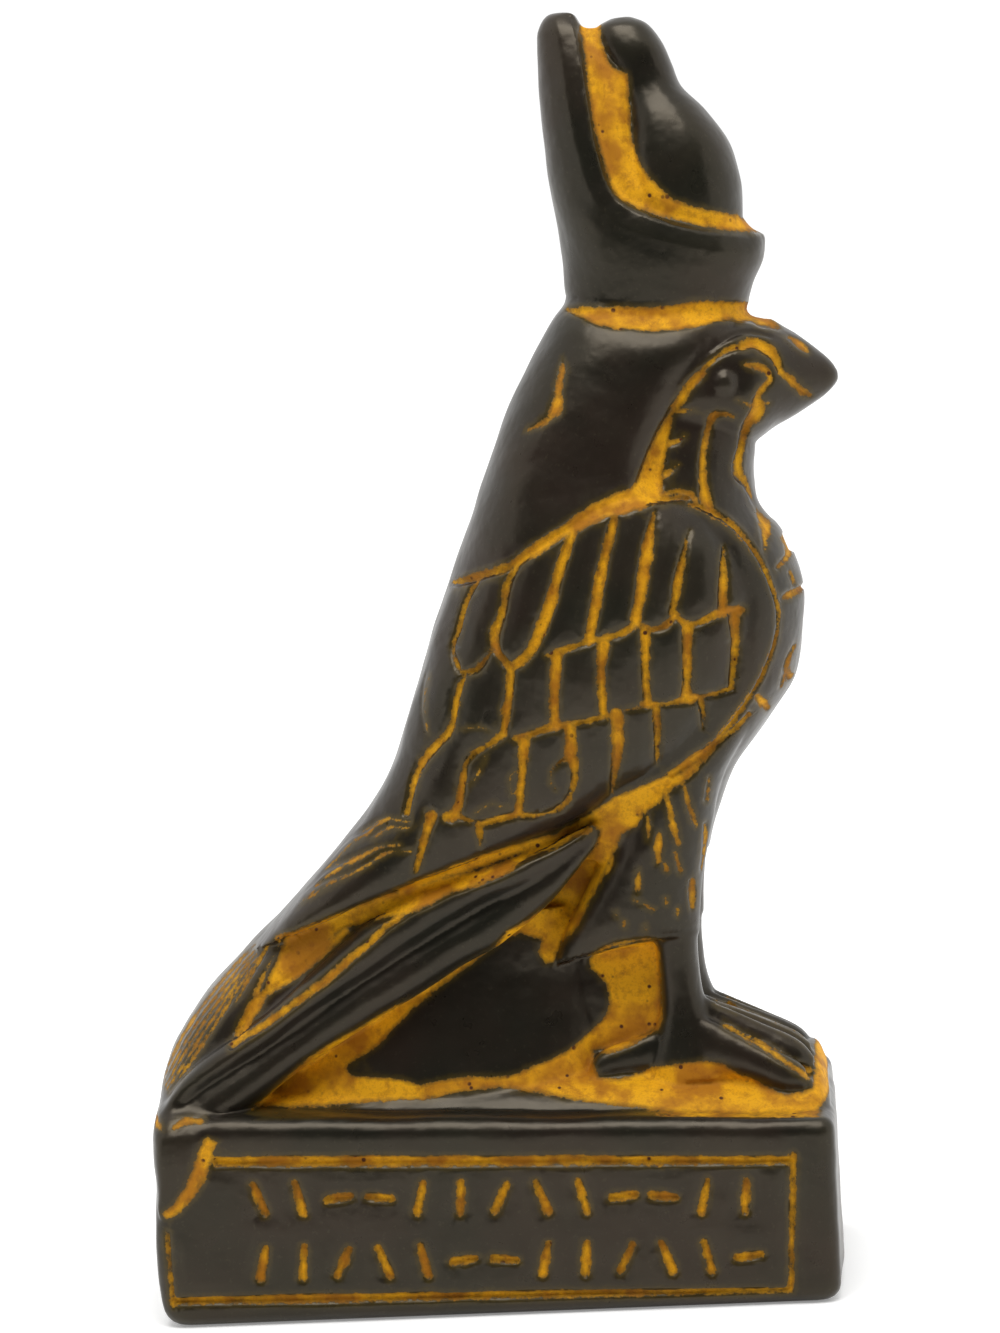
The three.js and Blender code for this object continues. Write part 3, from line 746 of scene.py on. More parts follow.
    def _round_tips(self) -> list[list[Station]]:
        """Return the grooves round the feathers' tips, row by row from above."""
        return [
            [(9.9, 81.9, 0.4), (12.0, 82.5, 0.9), (15.1, 83.3, 0.8)],
            [
                (15.2, 83.2, 0.6), (17.0, 83.6, 1.0), (19.0, 84.1, 1.1), (20.3, 84.8, 1.1),
                (21.3, 85.4, 1.0),
            ],
            [
                (21.2, 85.2, 0.9), (22.5, 84.5, 0.8), (24.0, 84.5, 0.9), (25.0, 85.1, 0.9),
                (25.8, 86.0, 1.1),
            ],
            [
                (25.8, 85.9, 0.9), (27.0, 84.8, 0.9), (28.5, 84.8, 0.9), (30.0, 85.4, 1.1),
                (31.5, 85.8, 1.3), (33.5, 85.7, 1.5),
            ],
            [(0.3, 70.2, 0.9), (2.2, 71.2, 0.9), (4.1, 72.4, 1.0)],
            [
                (5.5, 71.8, 1.2), (7.5, 72.3, 1.2), (9.8, 73.0, 1.2), (12.0, 73.3, 1.0),
                (14.5, 73.6, 0.9), (16.5, 74.0, 1.0),
            ],
            [(16.5, 74.0, 0.5), (19.0, 74.6, 0.4), (21.5, 75.0, 0.5)],
            [
                (21.5, 75.2, 1.2), (24.0, 75.1, 0.4), (26.5, 75.4, 1.4), (28.5, 75.5, 0.7),
                (30.5, 75.8, 0.7), (32.0, 76.2, 0.8),
            ],
            [(-3.6, 62.4, 1.3), (-2.0, 62.2, 0.9), (-0.4, 61.6, 0.5)],
            [
                (0.2, 61.2, 0.9), (2.0, 61.6, 1.0), (5.2, 62.2, 1.0), (7.0, 61.9, 0.7),
                (9.0, 62.2, 0.5), (10.4, 62.6, 0.8),
            ],
        ]

    def fields(self) -> list[Field]:
        """Return the wing's raised shield, and the broad band of ochre under its rear half."""
        shield = [
            (-2.4, 90.6), (2.0, 92.2), (8.0, 94.8), (14.0, 98.2), (19.6, 100.4), (25.0, 100.2),
            (30.0, 98.5), (34.2, 95.2), (37.0, 90.6), (38.4, 84.6), (37.0, 79.0), (33.4, 73.2),
            (28.9, 68.4), (24.0, 65.4), (17.0, 62.6), (8.0, 58.4), (0.0, 55.4), (-9.0, 53.4),
            (-18.0, 51.0), (-26.0, 48.4), (-34.0, 52.0), (-20.0, 70.0), (-12.0, 90.0),
        ]
        band = [
            (14.5, 61.6), (12.0, 60.2), (8.5, 58.6), (5.4, 57.1), (0.4, 55.3), (-5.1, 54.4),
            (-8.7, 53.3), (-12.4, 52.4), (-16.0, 51.2), (-18.7, 50.5), (-21.5, 49.4), (-24.6, 48.3),
            (-26.5, 47.6), (-26.3, 46.4), (-27.2, 44.6), (-28.8, 42.4), (-29.8, 40.2), (-30.4, 38.2),
            (-31.9, 35.1), (-31.0, 35.2), (-29.8, 37.2), (-28.5, 39.0), (-27.8, 40.5), (-26.0, 41.7),
            (-23.7, 43.0), (-21.2, 44.6), (-20.1, 46.0), (-18.7, 47.6), (-16.9, 48.5), (-14.2, 49.2),
            (-11.0, 49.9), (-9.6, 50.1), (-6.5, 51.2), (-3.7, 52.6), (-1.9, 53.0), (0.4, 53.7),
            (3.1, 54.6), (5.4, 56.0), (10.4, 57.8), (13.5, 59.6),
        ]
        wedge = [
            (-25.4, 47.6), (-26.0, 45.8), (-26.9, 43.8), (-29.2, 39.4), (-28.2, 42.2), (-26.8, 45.2),
        ]
        return [
            Field(shield, depth=-self.rise, place=Place.FLANKS, painted=False, edge=1.1),
            Field(band, [wedge], depth=0.35, place=Place.FLANKS),
        ]


@dataclass
class Breast:
    """Neck, breast and belly, which stand out in front of the wings."""

    mark_depth: float = 0.45

    def skins(self) -> list[Skin]:
        """Build the breast as one body."""
        ribs = [
            (14, 116, 36.4, 112.0, 9.0),
            (13, 108, 36.4, 105.6, 10.6),
            (12, 101, 35.9, 101.0, 12.0),
            (11, 97.5, 36.2, 97.6, 13.0),
            (10, 93.5, 38.9, 93.8, 14.4),
            (9, 88.0, 41.1, 87.6, 15.2),
            (9, 82.0, 41.0, 82.0, 15.2),
            (9, 76.0, 39.8, 76.0, 14.8),
            (9, 70.5, 36.2, 70.6, 14.2),
            (9, 65.5, 31.8, 65.2, 13.4),
            (9, 60.0, 29.4, 60.0, 12.4),
            (10, 55.0, 27.8, 54.6, 11.0),
        ]
        return [Body(ribs, boxiness=2.3, rows=110, columns=110).skin()]

    def grooves(self) -> list[Groove]:
        """Return the short marks that cross the breast."""
        marks = [
            [(39.1, 93.5, 0.5), (39.8, 91.4, 0.9), (38.5, 90.2, 0.6)],
            [(39.8, 89.3, 0.4), (40.4, 87.7, 0.4)],
            [(38.9, 86.4, 0.6), (39.8, 86.6, 1.0), (41.0, 86.8, 0.8)],
            [(40.0, 80.2, 0.4), (39.1, 78.5, 0.5), (38.5, 76.4, 0.5), (38.1, 75.2, 0.4)],
            [(38.8, 77.0, 0.9), (39.1, 76.2, 1.1)],
            [(35.0, 74.7, 0.8), (35.6, 73.8, 1.2), (36.2, 72.7, 0.8)],
        ]
        return [Groove(stations, self.mark_depth, Place.ROUND) for stations in marks]

    def fields(self) -> list[Field]:
        """Return the small patch of ochre in the hollow of the throat."""
        return [
            Field(
                [(35.9, 97.4), (36.6, 96.6), (37.9, 95.0), (37.5, 93.7), (36.9, 92.3), (36.6, 94.2)],
                depth=0.3,
            )
        ]


@dataclass
class Head:
    """The head with its hooked beak, the bosses of its eyes, and the mantle's edge beside it."""

    eye: Point = (33.0, 113.4)
    eye_radius: float = 1.9
    eye_aside: float = 9.1

    def skins(self) -> list[Skin]:
        """Build the head and the bosses of its eyes."""
        ribs = [
            (18, 122.5, 18, 106.0, 9.6),
            (24, 123.0, 24, 104.4, 10.6),
            (30, 122.8, 30.6, 104.2, 10.6),
            (35, 122.0, 35.6, 105.0, 9.6),
            (38.6, 120.8, 39.0, 107.2, 7.4),
            (41.8, 118.6, 42.0, 108.6, 5.0),
            (44.4, 116.4, 44.5, 110.1, 3.1),
            (46.2, 114.6, 46.0, 111.4, 1.9),
            (46.9, 113.4, 46.8, 112.3, 0.8),
        ]
        boss = []
        for turn in np.linspace(-80.0, 80.0, 9):
            reach = self.eye_radius * math.cos(math.radians(turn))
            z = self.eye[1] + self.eye_radius * math.sin(math.radians(turn))
            boss.append((self.eye[0] - reach, z, self.eye[0] + reach, z, reach, self.eye_aside))
        eye = Body(boss, rows=24, columns=32).skin()
        return [Body(ribs, boxiness=2.2, rows=100, columns=100).skin(), eye, eye.mirrored()]

    def grooves(self) -> list[Groove]:
        """Return the grooves of the mantle's edge, the brow, the eye, the mouth and the cheek."""
        base = [
            (14.2, 123.2, 0.5), (16.4, 122.8, 1.4), (18.0, 122.3, 2.0), (21.8, 121.9, 2.7),
            (25.5, 121.5, 3.0), (29.7, 121.8, 3.0), (33.0, 122.0, 2.4), (36.5, 121.4, 2.0),
            (38.5, 120.2, 1.2), (40.0, 119.4, 0.6),
        ]
        throat = [
            (37.0, 110.7, 1.4), (36.8, 109.3, 2.0), (35.7, 108.1, 1.2), (35.1, 106.8, 1.0),
            (34.7, 105.2, 0.9), (34.2, 103.5, 1.1), (34.2, 101.8, 1.2), (34.9, 100.6, 0.7),
            (35.8, 98.1, 0.6), (36.8, 96.2, 0.8),
        ]
        cheek = [
            (34.0, 109.1, 0.4), (32.6, 109.5, 0.6), (31.5, 109.3, 1.1), (30.9, 108.1, 0.8),
            (30.5, 106.8, 0.7), (30.1, 105.2, 0.8), (29.9, 103.1, 0.9), (29.9, 101.0, 1.1),
            (30.1, 99.3, 1.3), (30.5, 98.3, 1.0), (31.1, 97.2, 0.8),
        ]
        rim = [
            (35.7, 115.4, 0.5), (36.8, 115.1, 0.8), (37.8, 114.8, 0.8), (38.6, 113.9, 0.8),
            (38.6, 113.1, 0.7), (38.0, 112.7, 0.7), (37.2, 111.6, 0.8), (36.8, 111.0, 0.9),
        ]
        brow = [
            (35.4, 117.6, 0.9), (36.9, 117.9, 1.3), (38.3, 117.1, 1.4), (39.3, 116.0, 1.1),
            (39.8, 114.8, 0.8), (39.7, 113.8, 0.4),
        ]
        mouth = [
            (39.3, 115.4, 0.5), (40.1, 114.1, 0.8), (41.2, 112.9, 0.9), (42.0, 112.0, 0.9),
            (42.7, 111.3, 0.9), (43.4, 110.8, 0.6),
        ]
        arc = [
            (29.0, 113.4, 0.8), (30.6, 115.1, 0.8), (32.4, 116.5, 0.8), (34.0, 117.4, 0.9),
            (35.4, 117.6, 0.9),
        ]
        spikes = [
            [(26.8, 110.2, 0.6), (29.5, 110.2, 0.2)],
            [(25.9, 106.4, 0.8), (27.0, 106.5, 0.7), (28.0, 107.2, 0.2)],
            [(25.4, 102.7, 0.9), (27.0, 103.7, 0.2)],
            [(24.9, 100.2, 0.8), (26.8, 100.5, 0.7), (28.4, 100.0, 0.6), (28.8, 99.3, 0.5)],
        ]
        made = [
            Groove(base, 0.5, Place.ROUND, shoulder=0.12),
            Groove(throat, 0.6),
            Groove(cheek, 0.5),
            Groove(rim, 0.4),
            Groove(brow, 0.6),
            Groove(arc, 0.5, painted=-0.08, shoulder=0.1),
            Groove(mouth, 0.45),
        ]
        made += [Groove(spike, 0.35) for spike in spikes]
        made += [
            Groove(
                [(31.3, 117.2, 0.5), (34.7, 119.1, 0.8), (37.2, 119.1, 0.8), (39.0, 118.5, 0.5)],
                0.3,
                painted=None,
            ),
            Groove([(41.2, 118.1, 0.8), (42.6, 117.0, 1.2), (43.4, 116.2, 0.6)], 0.2, painted=-0.1),
            Groove([(34.6, 111.2, 0.5), (36.4, 110.2, 0.9), (38.4, 110.4, 0.5)], 0.25, painted=-0.15),
        ]
        return made

    def softened(self) -> list[list[Station]]:
        """Return the steps behind the cheek, where polish has rounded the casting."""
        return [[(26.0, 109.2, 1.4), (31.0, 107.4, 1.4), (30.4, 103.0, 1.2), (30.2, 98.4, 1.2)]]

    def fields(self) -> list[Field]:
        """Return the neck band's broad ochre, the hollow of the eye, and the chip high on the mantle."""
        neck = [
            (30.2, 115.2), (29.7, 114.8), (28.0, 113.1), (26.8, 111.4), (25.9, 109.8), (24.7, 108.1),
            (23.6, 106.0), (22.6, 103.9), (21.8, 102.2), (20.4, 100.2), (24.7, 100.0), (24.9, 101.0),
            (25.1, 103.1), (25.7, 105.6), (26.3, 107.7), (26.5, 109.3), (27.6, 110.6), (28.4, 111.6),
            (29.5, 113.1), (30.4, 113.9), (31.0, 114.8),
        ]
        hollow = [
            (30.4, 113.8), (31.4, 115.4), (33.4, 116.2), (35.8, 115.6), (36.8, 114.0), (35.2, 112.4),
            (32.4, 112.0), (30.8, 112.6),
        ]
        chip = [
            (13.6, 117.5), (14.0, 116.2), (13.6, 114.8), (13.4, 113.5), (13.5, 112.0), (13.2, 110.8),
            (12.0, 110.2), (10.5, 109.3), (8.4, 108.9), (10.3, 110.0), (11.3, 110.6), (11.8, 111.8),
            (12.4, 113.5), (12.8, 115.2), (13.2, 116.6),
        ]
        return [
            Field(neck, depth=0.6, place=Place.FLANKS, edge=0.4),
            Field(hollow, depth=0.35, place=Place.FLANKS, painted=False, edge=1.6),
            Field(chip, depth=0.25, place=Place.RIGHT, smooth=False, edge=0.3),
        ]


@dataclass
class Crown:
    """The double crown: an outer cup with a tall plate behind, and an inner bulb with a knob."""

    half_width: float = 15.0
    rim_points: int = 81
    lip: float = 2.0
    lip_points: int = 22
    lip_ends: tuple[float, float] = (0.1, 0.86)  # shares of the rim's length between which it is rolled
    rim_softness: float = 1.5
    rim: tuple[Point, ...] = (
        (16.4, 162), (17.5, 157.5), (18.4, 149.6), (19.4, 142.2), (21.3, 136.9), (25.0, 134.5),
        (31.0, 132.5), (37.2, 131.3), (44.0, 130.6),
    )

    def skins(self) -> list[Skin]:
        """Build the inner crown and the ground between it and the plate."""
        bulb = [
            (21.8, 126, 36.0, 130.0, 7.6),
            (21.6, 132, 36.4, 134.4, 8.2),
            (21.6, 138.0, 36.2, 138.0, 8.4),
            (21.8, 142.0, 35.0, 142.6, 7.9),
            (22.2, 146.4, 32.4, 146.6, 6.4),
            (22.0, 149.6, 29.5, 149.8, 4.7),
            (20.8, 152.4, 28.6, 152.4, 4.4),
            (19.6, 155.4, 27.6, 155.2, 4.2),
            (19.6, 157.4, 25.8, 157.6, 3.2),
            (21.4, 158.5, 23.8, 158.6, 1.4),
        ]
        ground = [
            (15.0, 130.0, 37.8, 131.0, 8.2),
            (15.0, 133.4, 35.6, 133.6, 8.0),
            (15.0, 135.6, 29.4, 135.6, 7.7),
            (15.0, 138.4, 26.4, 138.4, 7.2),
            (14.8, 142.4, 24.8, 142.4, 6.5),
            (14.6, 147.0, 24.2, 147.0, 5.8),
            (14.4, 151.2, 23.4, 151.2, 4.9),
            (14.6, 154.2, 21.0, 154.2, 4.2),
            (15.0, 157.4, 20.2, 157.4, 2.4),
        ]
        return [Body(bulb, boxiness=2.3).skin(), Body(ground, boxiness=3.0).skin()]

    def shell(self) -> Skin:
        """Build the outer crown before its opening is cut."""
        ribs = [
            (14.2, 119.4, 35.8, 118.6, 8.4),
            (13.8, 125.4, 37.0, 124.6, 9.0),
            (13.7, 129.4, 38.6, 128.2, 9.8),
            (13.2, 134.0, 39.0, 132.6, 10.2),
            (12.6, 139.4, 39.0, 138.0, 9.8),
            (12.3, 145.0, 38.0, 145.0, 8.8),
            (12.0, 151.0, 36.0, 151.0, 7.4),
            (12.0, 155.4, 32.0, 155.4, 5.8),
            (12.4, 158.0, 25.0, 158.4, 4.2),
            (13.6, 159.6, 20.0, 159.6, 2.6),
        ]
        return Body(ribs, boxiness=2.2, rows=110, columns=110).skin()

    def opening(self) -> Skin:
        """Build what is cut from the outer crown: all that lies in front of and above its rim."""
        line = spline(np.array(self.rim, float), np.linspace(0.0, 1.0, self.rim_points))
        corners = [(float(x), float(z)) for x, z in line]
        return Wall([*corners, (self.rim[-1][0], self.rim[0][1])], self.half_width).skin()

    def grooves(self) -> list[Groove]:
        """Return the rolled lip along the rim: it slopes towards the rim, above a faint valley."""
        return [
            Groove(self._beside_rim(distance=0.4, width=1.0), 0.02, painted=None, shoulder=0.4),
            Groove(self._beside_rim(distance=self.lip + 1.6, width=2.0), 0.04, painted=None),
        ]

    def softened(self) -> list[list[Station]]:
        """Return the rim, the plate's tip and the crown's foot, where polish has rounded the casting."""
        rim = [(x, z, self.rim_softness) for x, z in self.rim]
        tip = [(12.0, 159.4, 2.6), (17.0, 160.4, 2.6)]
        foot = [(13.6, 123.6, 1.2), (24.0, 122.6, 1.2), (36.4, 122.4, 1.2)]
        return [rim, tip, foot]

    def _beside_rim(self, distance: float, width: float) -> list[Station]:
        """Draw a line outside the rim.

        Args:
            distance: how far from the rim it runs.
            width: its width.

        Returns:
            The line's stations.
        """
        line = spline(np.array(self.rim, float), np.linspace(*self.lip_ends, self.lip_points))
        way = np.gradient(line, axis=0)
        way /= np.linalg.norm(way, axis=1, keepdims=True)
        return [
            (x + distance * dz, z - distance * dx, width)
            for (x, z), (dx, dz) in zip(line, way, strict=True)
        ]

    def fields(self) -> list[Field]:
        """Return the ochre ground between the rim and the bulb."""
        ground = [
            (18.0, 159.2), (17.5, 157.5), (18.1, 154.1), (18.3, 150.9), (18.5, 147.7), (18.9, 144.5),
            (19.5, 141.8), (20.2, 139.1), (21.1, 136.8), (22.5, 135.7), (25.0, 134.5), (28.2, 133.4),
            (30.9, 132.5), (34.5, 131.7), (37.3, 131.3), (39.6, 131.0), (39.0, 131.8), (37.3, 132.5),
            (35.5, 133.6), (33.6, 134.1), (30.5, 135.0), (28.2, 135.9), (26.6, 137.3), (25.0, 139.3),
            (23.9, 141.4), (23.3, 144.1), (23.3, 145.9), (23.2, 148.2), (23.4, 150.2), (23.2, 151.6),
            (21.4, 152.5), (20.7, 154.1), (20.2, 155.9), (20.2, 158.2), (19.8, 159.4),
        ]
        return [Field(ground, smooth=False)]


@dataclass
class Tail:
    """The tail, the two rolls along its sides, and its end over the plinth's rear edge."""

    barb_count: int = 5
    streak_widening: float = 1.4  # against the widths of the hair-thin lines under the wing's tip

    def skins(self) -> list[Skin]:
        """Build the tail, its end and both pairs of rolls."""
        tail = [
            (-4.0, 66, 15.0, 62.0, 12.0),
            (-8.0, 62, 14.0, 56.0, 12.6),
            (-18.0, 56, 5.0, 48.8, 12.6),
            (-26.0, 49.6, -5.0, 42.4, 12.6),
            (-32.6, 43.6, -15.0, 36.4, 12.8),
            (-38.2, 37.8, -23.0, 31.2, 13.4),
            (-41.8, 32.4, -29.0, 26.6, 14.8),
            (-43.2, 27.4, -33.0, 23.0, 16.8),
            (-43.3, 22.6, -36.0, 19.0, 17.6),
        ]
        end = [
            (-41.6, 28.4, -34.6, 27.4, 15.4),
            (-42.7, 26.9, -34.2, 26.2, 18.8),
            (-43.1, 25.0, -34.2, 24.6, 20.3),
            (-43.2, 22.6, -35.0, 22.4, 20.7),
            (-43.1, 19.8, -36.6, 19.8, 20.7),
            (-42.9, 17.2, -38.6, 17.4, 20.6),
            (-42.8, 15.4, -40.4, 15.4, 20.4),
            (-42.4, 14.2, -41.6, 14.2, 20.0),
        ]
        upper_roll = [
            (14.3, 60.2, 14.7, 59.2, 0.6, 12.0),
            (5.6, 56.8, 7.2, 54.0, 2.4, 13.0),
            (-2.6, 54.4, 0.2, 50.8, 3.0, 12.9),
            (-12.4, 50.6, -9.4, 45.4, 3.2, 12.8),
            (-20.7, 44.2, -18.5, 40.1, 3.2, 12.7),
            (-29.2, 37.4, -27.6, 34.3, 3.0, 12.9),
            (-37.8, 31.6, -36.4, 29.2, 2.8, 14.2),
            (-41.0, 28.0, -40.2, 26.2, 2.4, 15.4),
        ]
        lower_roll = [
            (14.6, 59.2, 14.9, 58.0, 0.6, 11.6),
            (7.0, 54.6, 9.6, 51.8, 2.0, 12.4),
            (-0.1, 51.0, 4.4, 47.0, 2.8, 12.2),
            (-9.6, 45.8, -5.1, 41.6, 3.2, 12.0),
            (-18.7, 40.5, -14.6, 36.4, 3.4, 11.9),
            (-27.8, 34.7, -24.0, 30.8, 3.4, 12.1),
            (-36.9, 29.6, -33.0, 25.0, 3.4, 13.8),
            (-41.0, 26.6, -38.6, 22.8, 2.8, 15.8),
        ]
        rolls = [Body(ribs, rows=100, columns=36).skin() for ribs in (upper_roll, lower_roll)]
        middle = [
            Body(tail, boxiness=2.6, rows=100, columns=100).skin(),
            Body(end, boxiness=4.5, rows=50, columns=120).skin(),
        ]
        return middle + rolls + [roll.mirrored() for roll in rolls]

    def softened(self) -> list[list[Station]]:
        """Return the lines on the tail and under the wing where polish has rounded the casting."""
        valley = [
            (14.7, 59.2, 1.0), (6.5, 54.3, 1.3), (-9.5, 45.6, 1.3), (-27.7, 34.5, 1.3),
            (-41.0, 26.6, 1.6),
        ]
        under_wing = [(-12.0, 50.8, 1.0), (2.3, 56.0, 1.2), (13.6, 59.0, 0.8)]
        corner = [(-44.0, 25.6, 2.0), (-41.0, 26.6, 2.2), (-36.0, 26.4, 1.6)]
        wing_tip = [(-29.6, 46.2, 1.6), (-25.0, 46.8, 1.6)]
        return [valley, under_wing, corner, wing_tip]

    def grooves(self) -> list[Groove]:
        """Return the tail's lines of ochre and the fine barbs on its back."""
        line = [
            (-9.6, 50.3, 0.6), (-12.0, 48.9, 0.9), (-14.2, 47.0, 1.0), (-16.9, 45.0, 1.0),
            (-19.6, 42.8, 1.1), (-23.3, 40.3, 1.0), (-26.0, 38.5, 1.0), (-29.2, 36.5, 0.9),
            (-32.4, 34.8, 0.8),
        ]
        strand = [
            (-17.5, 48.0, 1.2), (-20.5, 45.9, 1.6), (-23.3, 43.7, 1.5), (-26.0, 41.9, 1.2),
            (-28.5, 40.4, 1.0), (-29.6, 39.2, 1.6), (-30.5, 37.8, 1.3), (-31.5, 36.5, 1.0),
            (-31.9, 35.1, 0.6),
        ]
        crease = [(-18.9, 48.2, 0.4), (-22.4, 45.6, 0.6), (-25.6, 43.2, 0.4)]
        fine = [
            (-27.4, 46.4, 0.3), (-27.9, 45.8, 0.5), (-28.7, 44.6, 0.5), (-30.5, 41.9, 0.5),
            (-31.9, 39.6, 0.3),
        ]
        made = [
            Groove(line, 0.5, shoulder=0.12),
            Groove(strand, 0.5, shoulder=0.12),
            Groove(crease, 0.4, painted=None),
            Groove(fine, 0.3, painted=-0.02),
        ]
        streaks = [
            [
                (-8.3, 61.7, 0.3), (-11.5, 61.9, 0.4), (-14.2, 60.1, 0.5), (-16.5, 58.7, 0.4),
                (-18.7, 56.5, 0.4), (-21.5, 54.0, 0.4), (-24.6, 51.0, 0.3),
            ],
            [(-8.3, 61.0, 0.3), (-11.0, 61.0, 0.4), (-13.3, 59.6, 0.3)],
            [
                (-9.6, 59.0, 0.3), (-12.4, 58.7, 0.4), (-14.6, 57.6, 0.5), (-16.9, 56.5, 0.5),
                (-19.2, 55.1, 0.4), (-21.9, 52.8, 0.4), (-24.2, 51.2, 0.3),
            ],
            [
                (-8.3, 58.2, 0.3), (-11.0, 58.2, 0.4), (-14.2, 56.5, 0.4), (-16.5, 55.3, 0.4),
                (-19.2, 54.1, 0.4), (-21.9, 52.4, 0.3),
            ],
        ]
        made += [
            Groove([(x, z, self.streak_widening * width) for x, z, width in stations], 0.22, painted=-0.1)
            for stations in streaks
        ]
        inner = [
            (-28.8, 44.4, 0.4), (-30.8, 42.2, 0.65), (-34.6, 37.0, 0.7), (-38.6, 31.6, 0.65),
            (-41.0, 28.8, 0.4),
        ]
        outer = [
            (-29.8, 45.6, 0.4), (-32.6, 43.0, 0.65), (-37.5, 37.6, 0.7), (-40.8, 32.6, 0.65),
            (-42.4, 29.4, 0.4),
        ]
        for barb in range(self.barb_count):
            share = barb / (self.barb_count - 1)
            made.append(Groove(between(inner, outer, share), 0.2, Place.ROUND, painted=-0.15))
        return made

    def fields(self) -> list[Field]:
        """Return the smear of ochre along the edge of the tail's end."""
        smear = [
            (-33.4, 25.6), (-34.6, 22.8), (-35.4, 20.6), (-36.2, 18.6), (-37.6, 16.8), (-39.4, 15.0),
            (-41.4, 14.2), (-41.6, 15.0), (-40.4, 16.0), (-38.8, 18.0), (-37.6, 20.4), (-36.6, 22.8),
            (-35.6, 24.6), (-34.8, 25.8),
        ]
        return [Field(smear, place=Place.PLINTH_SIDES)]


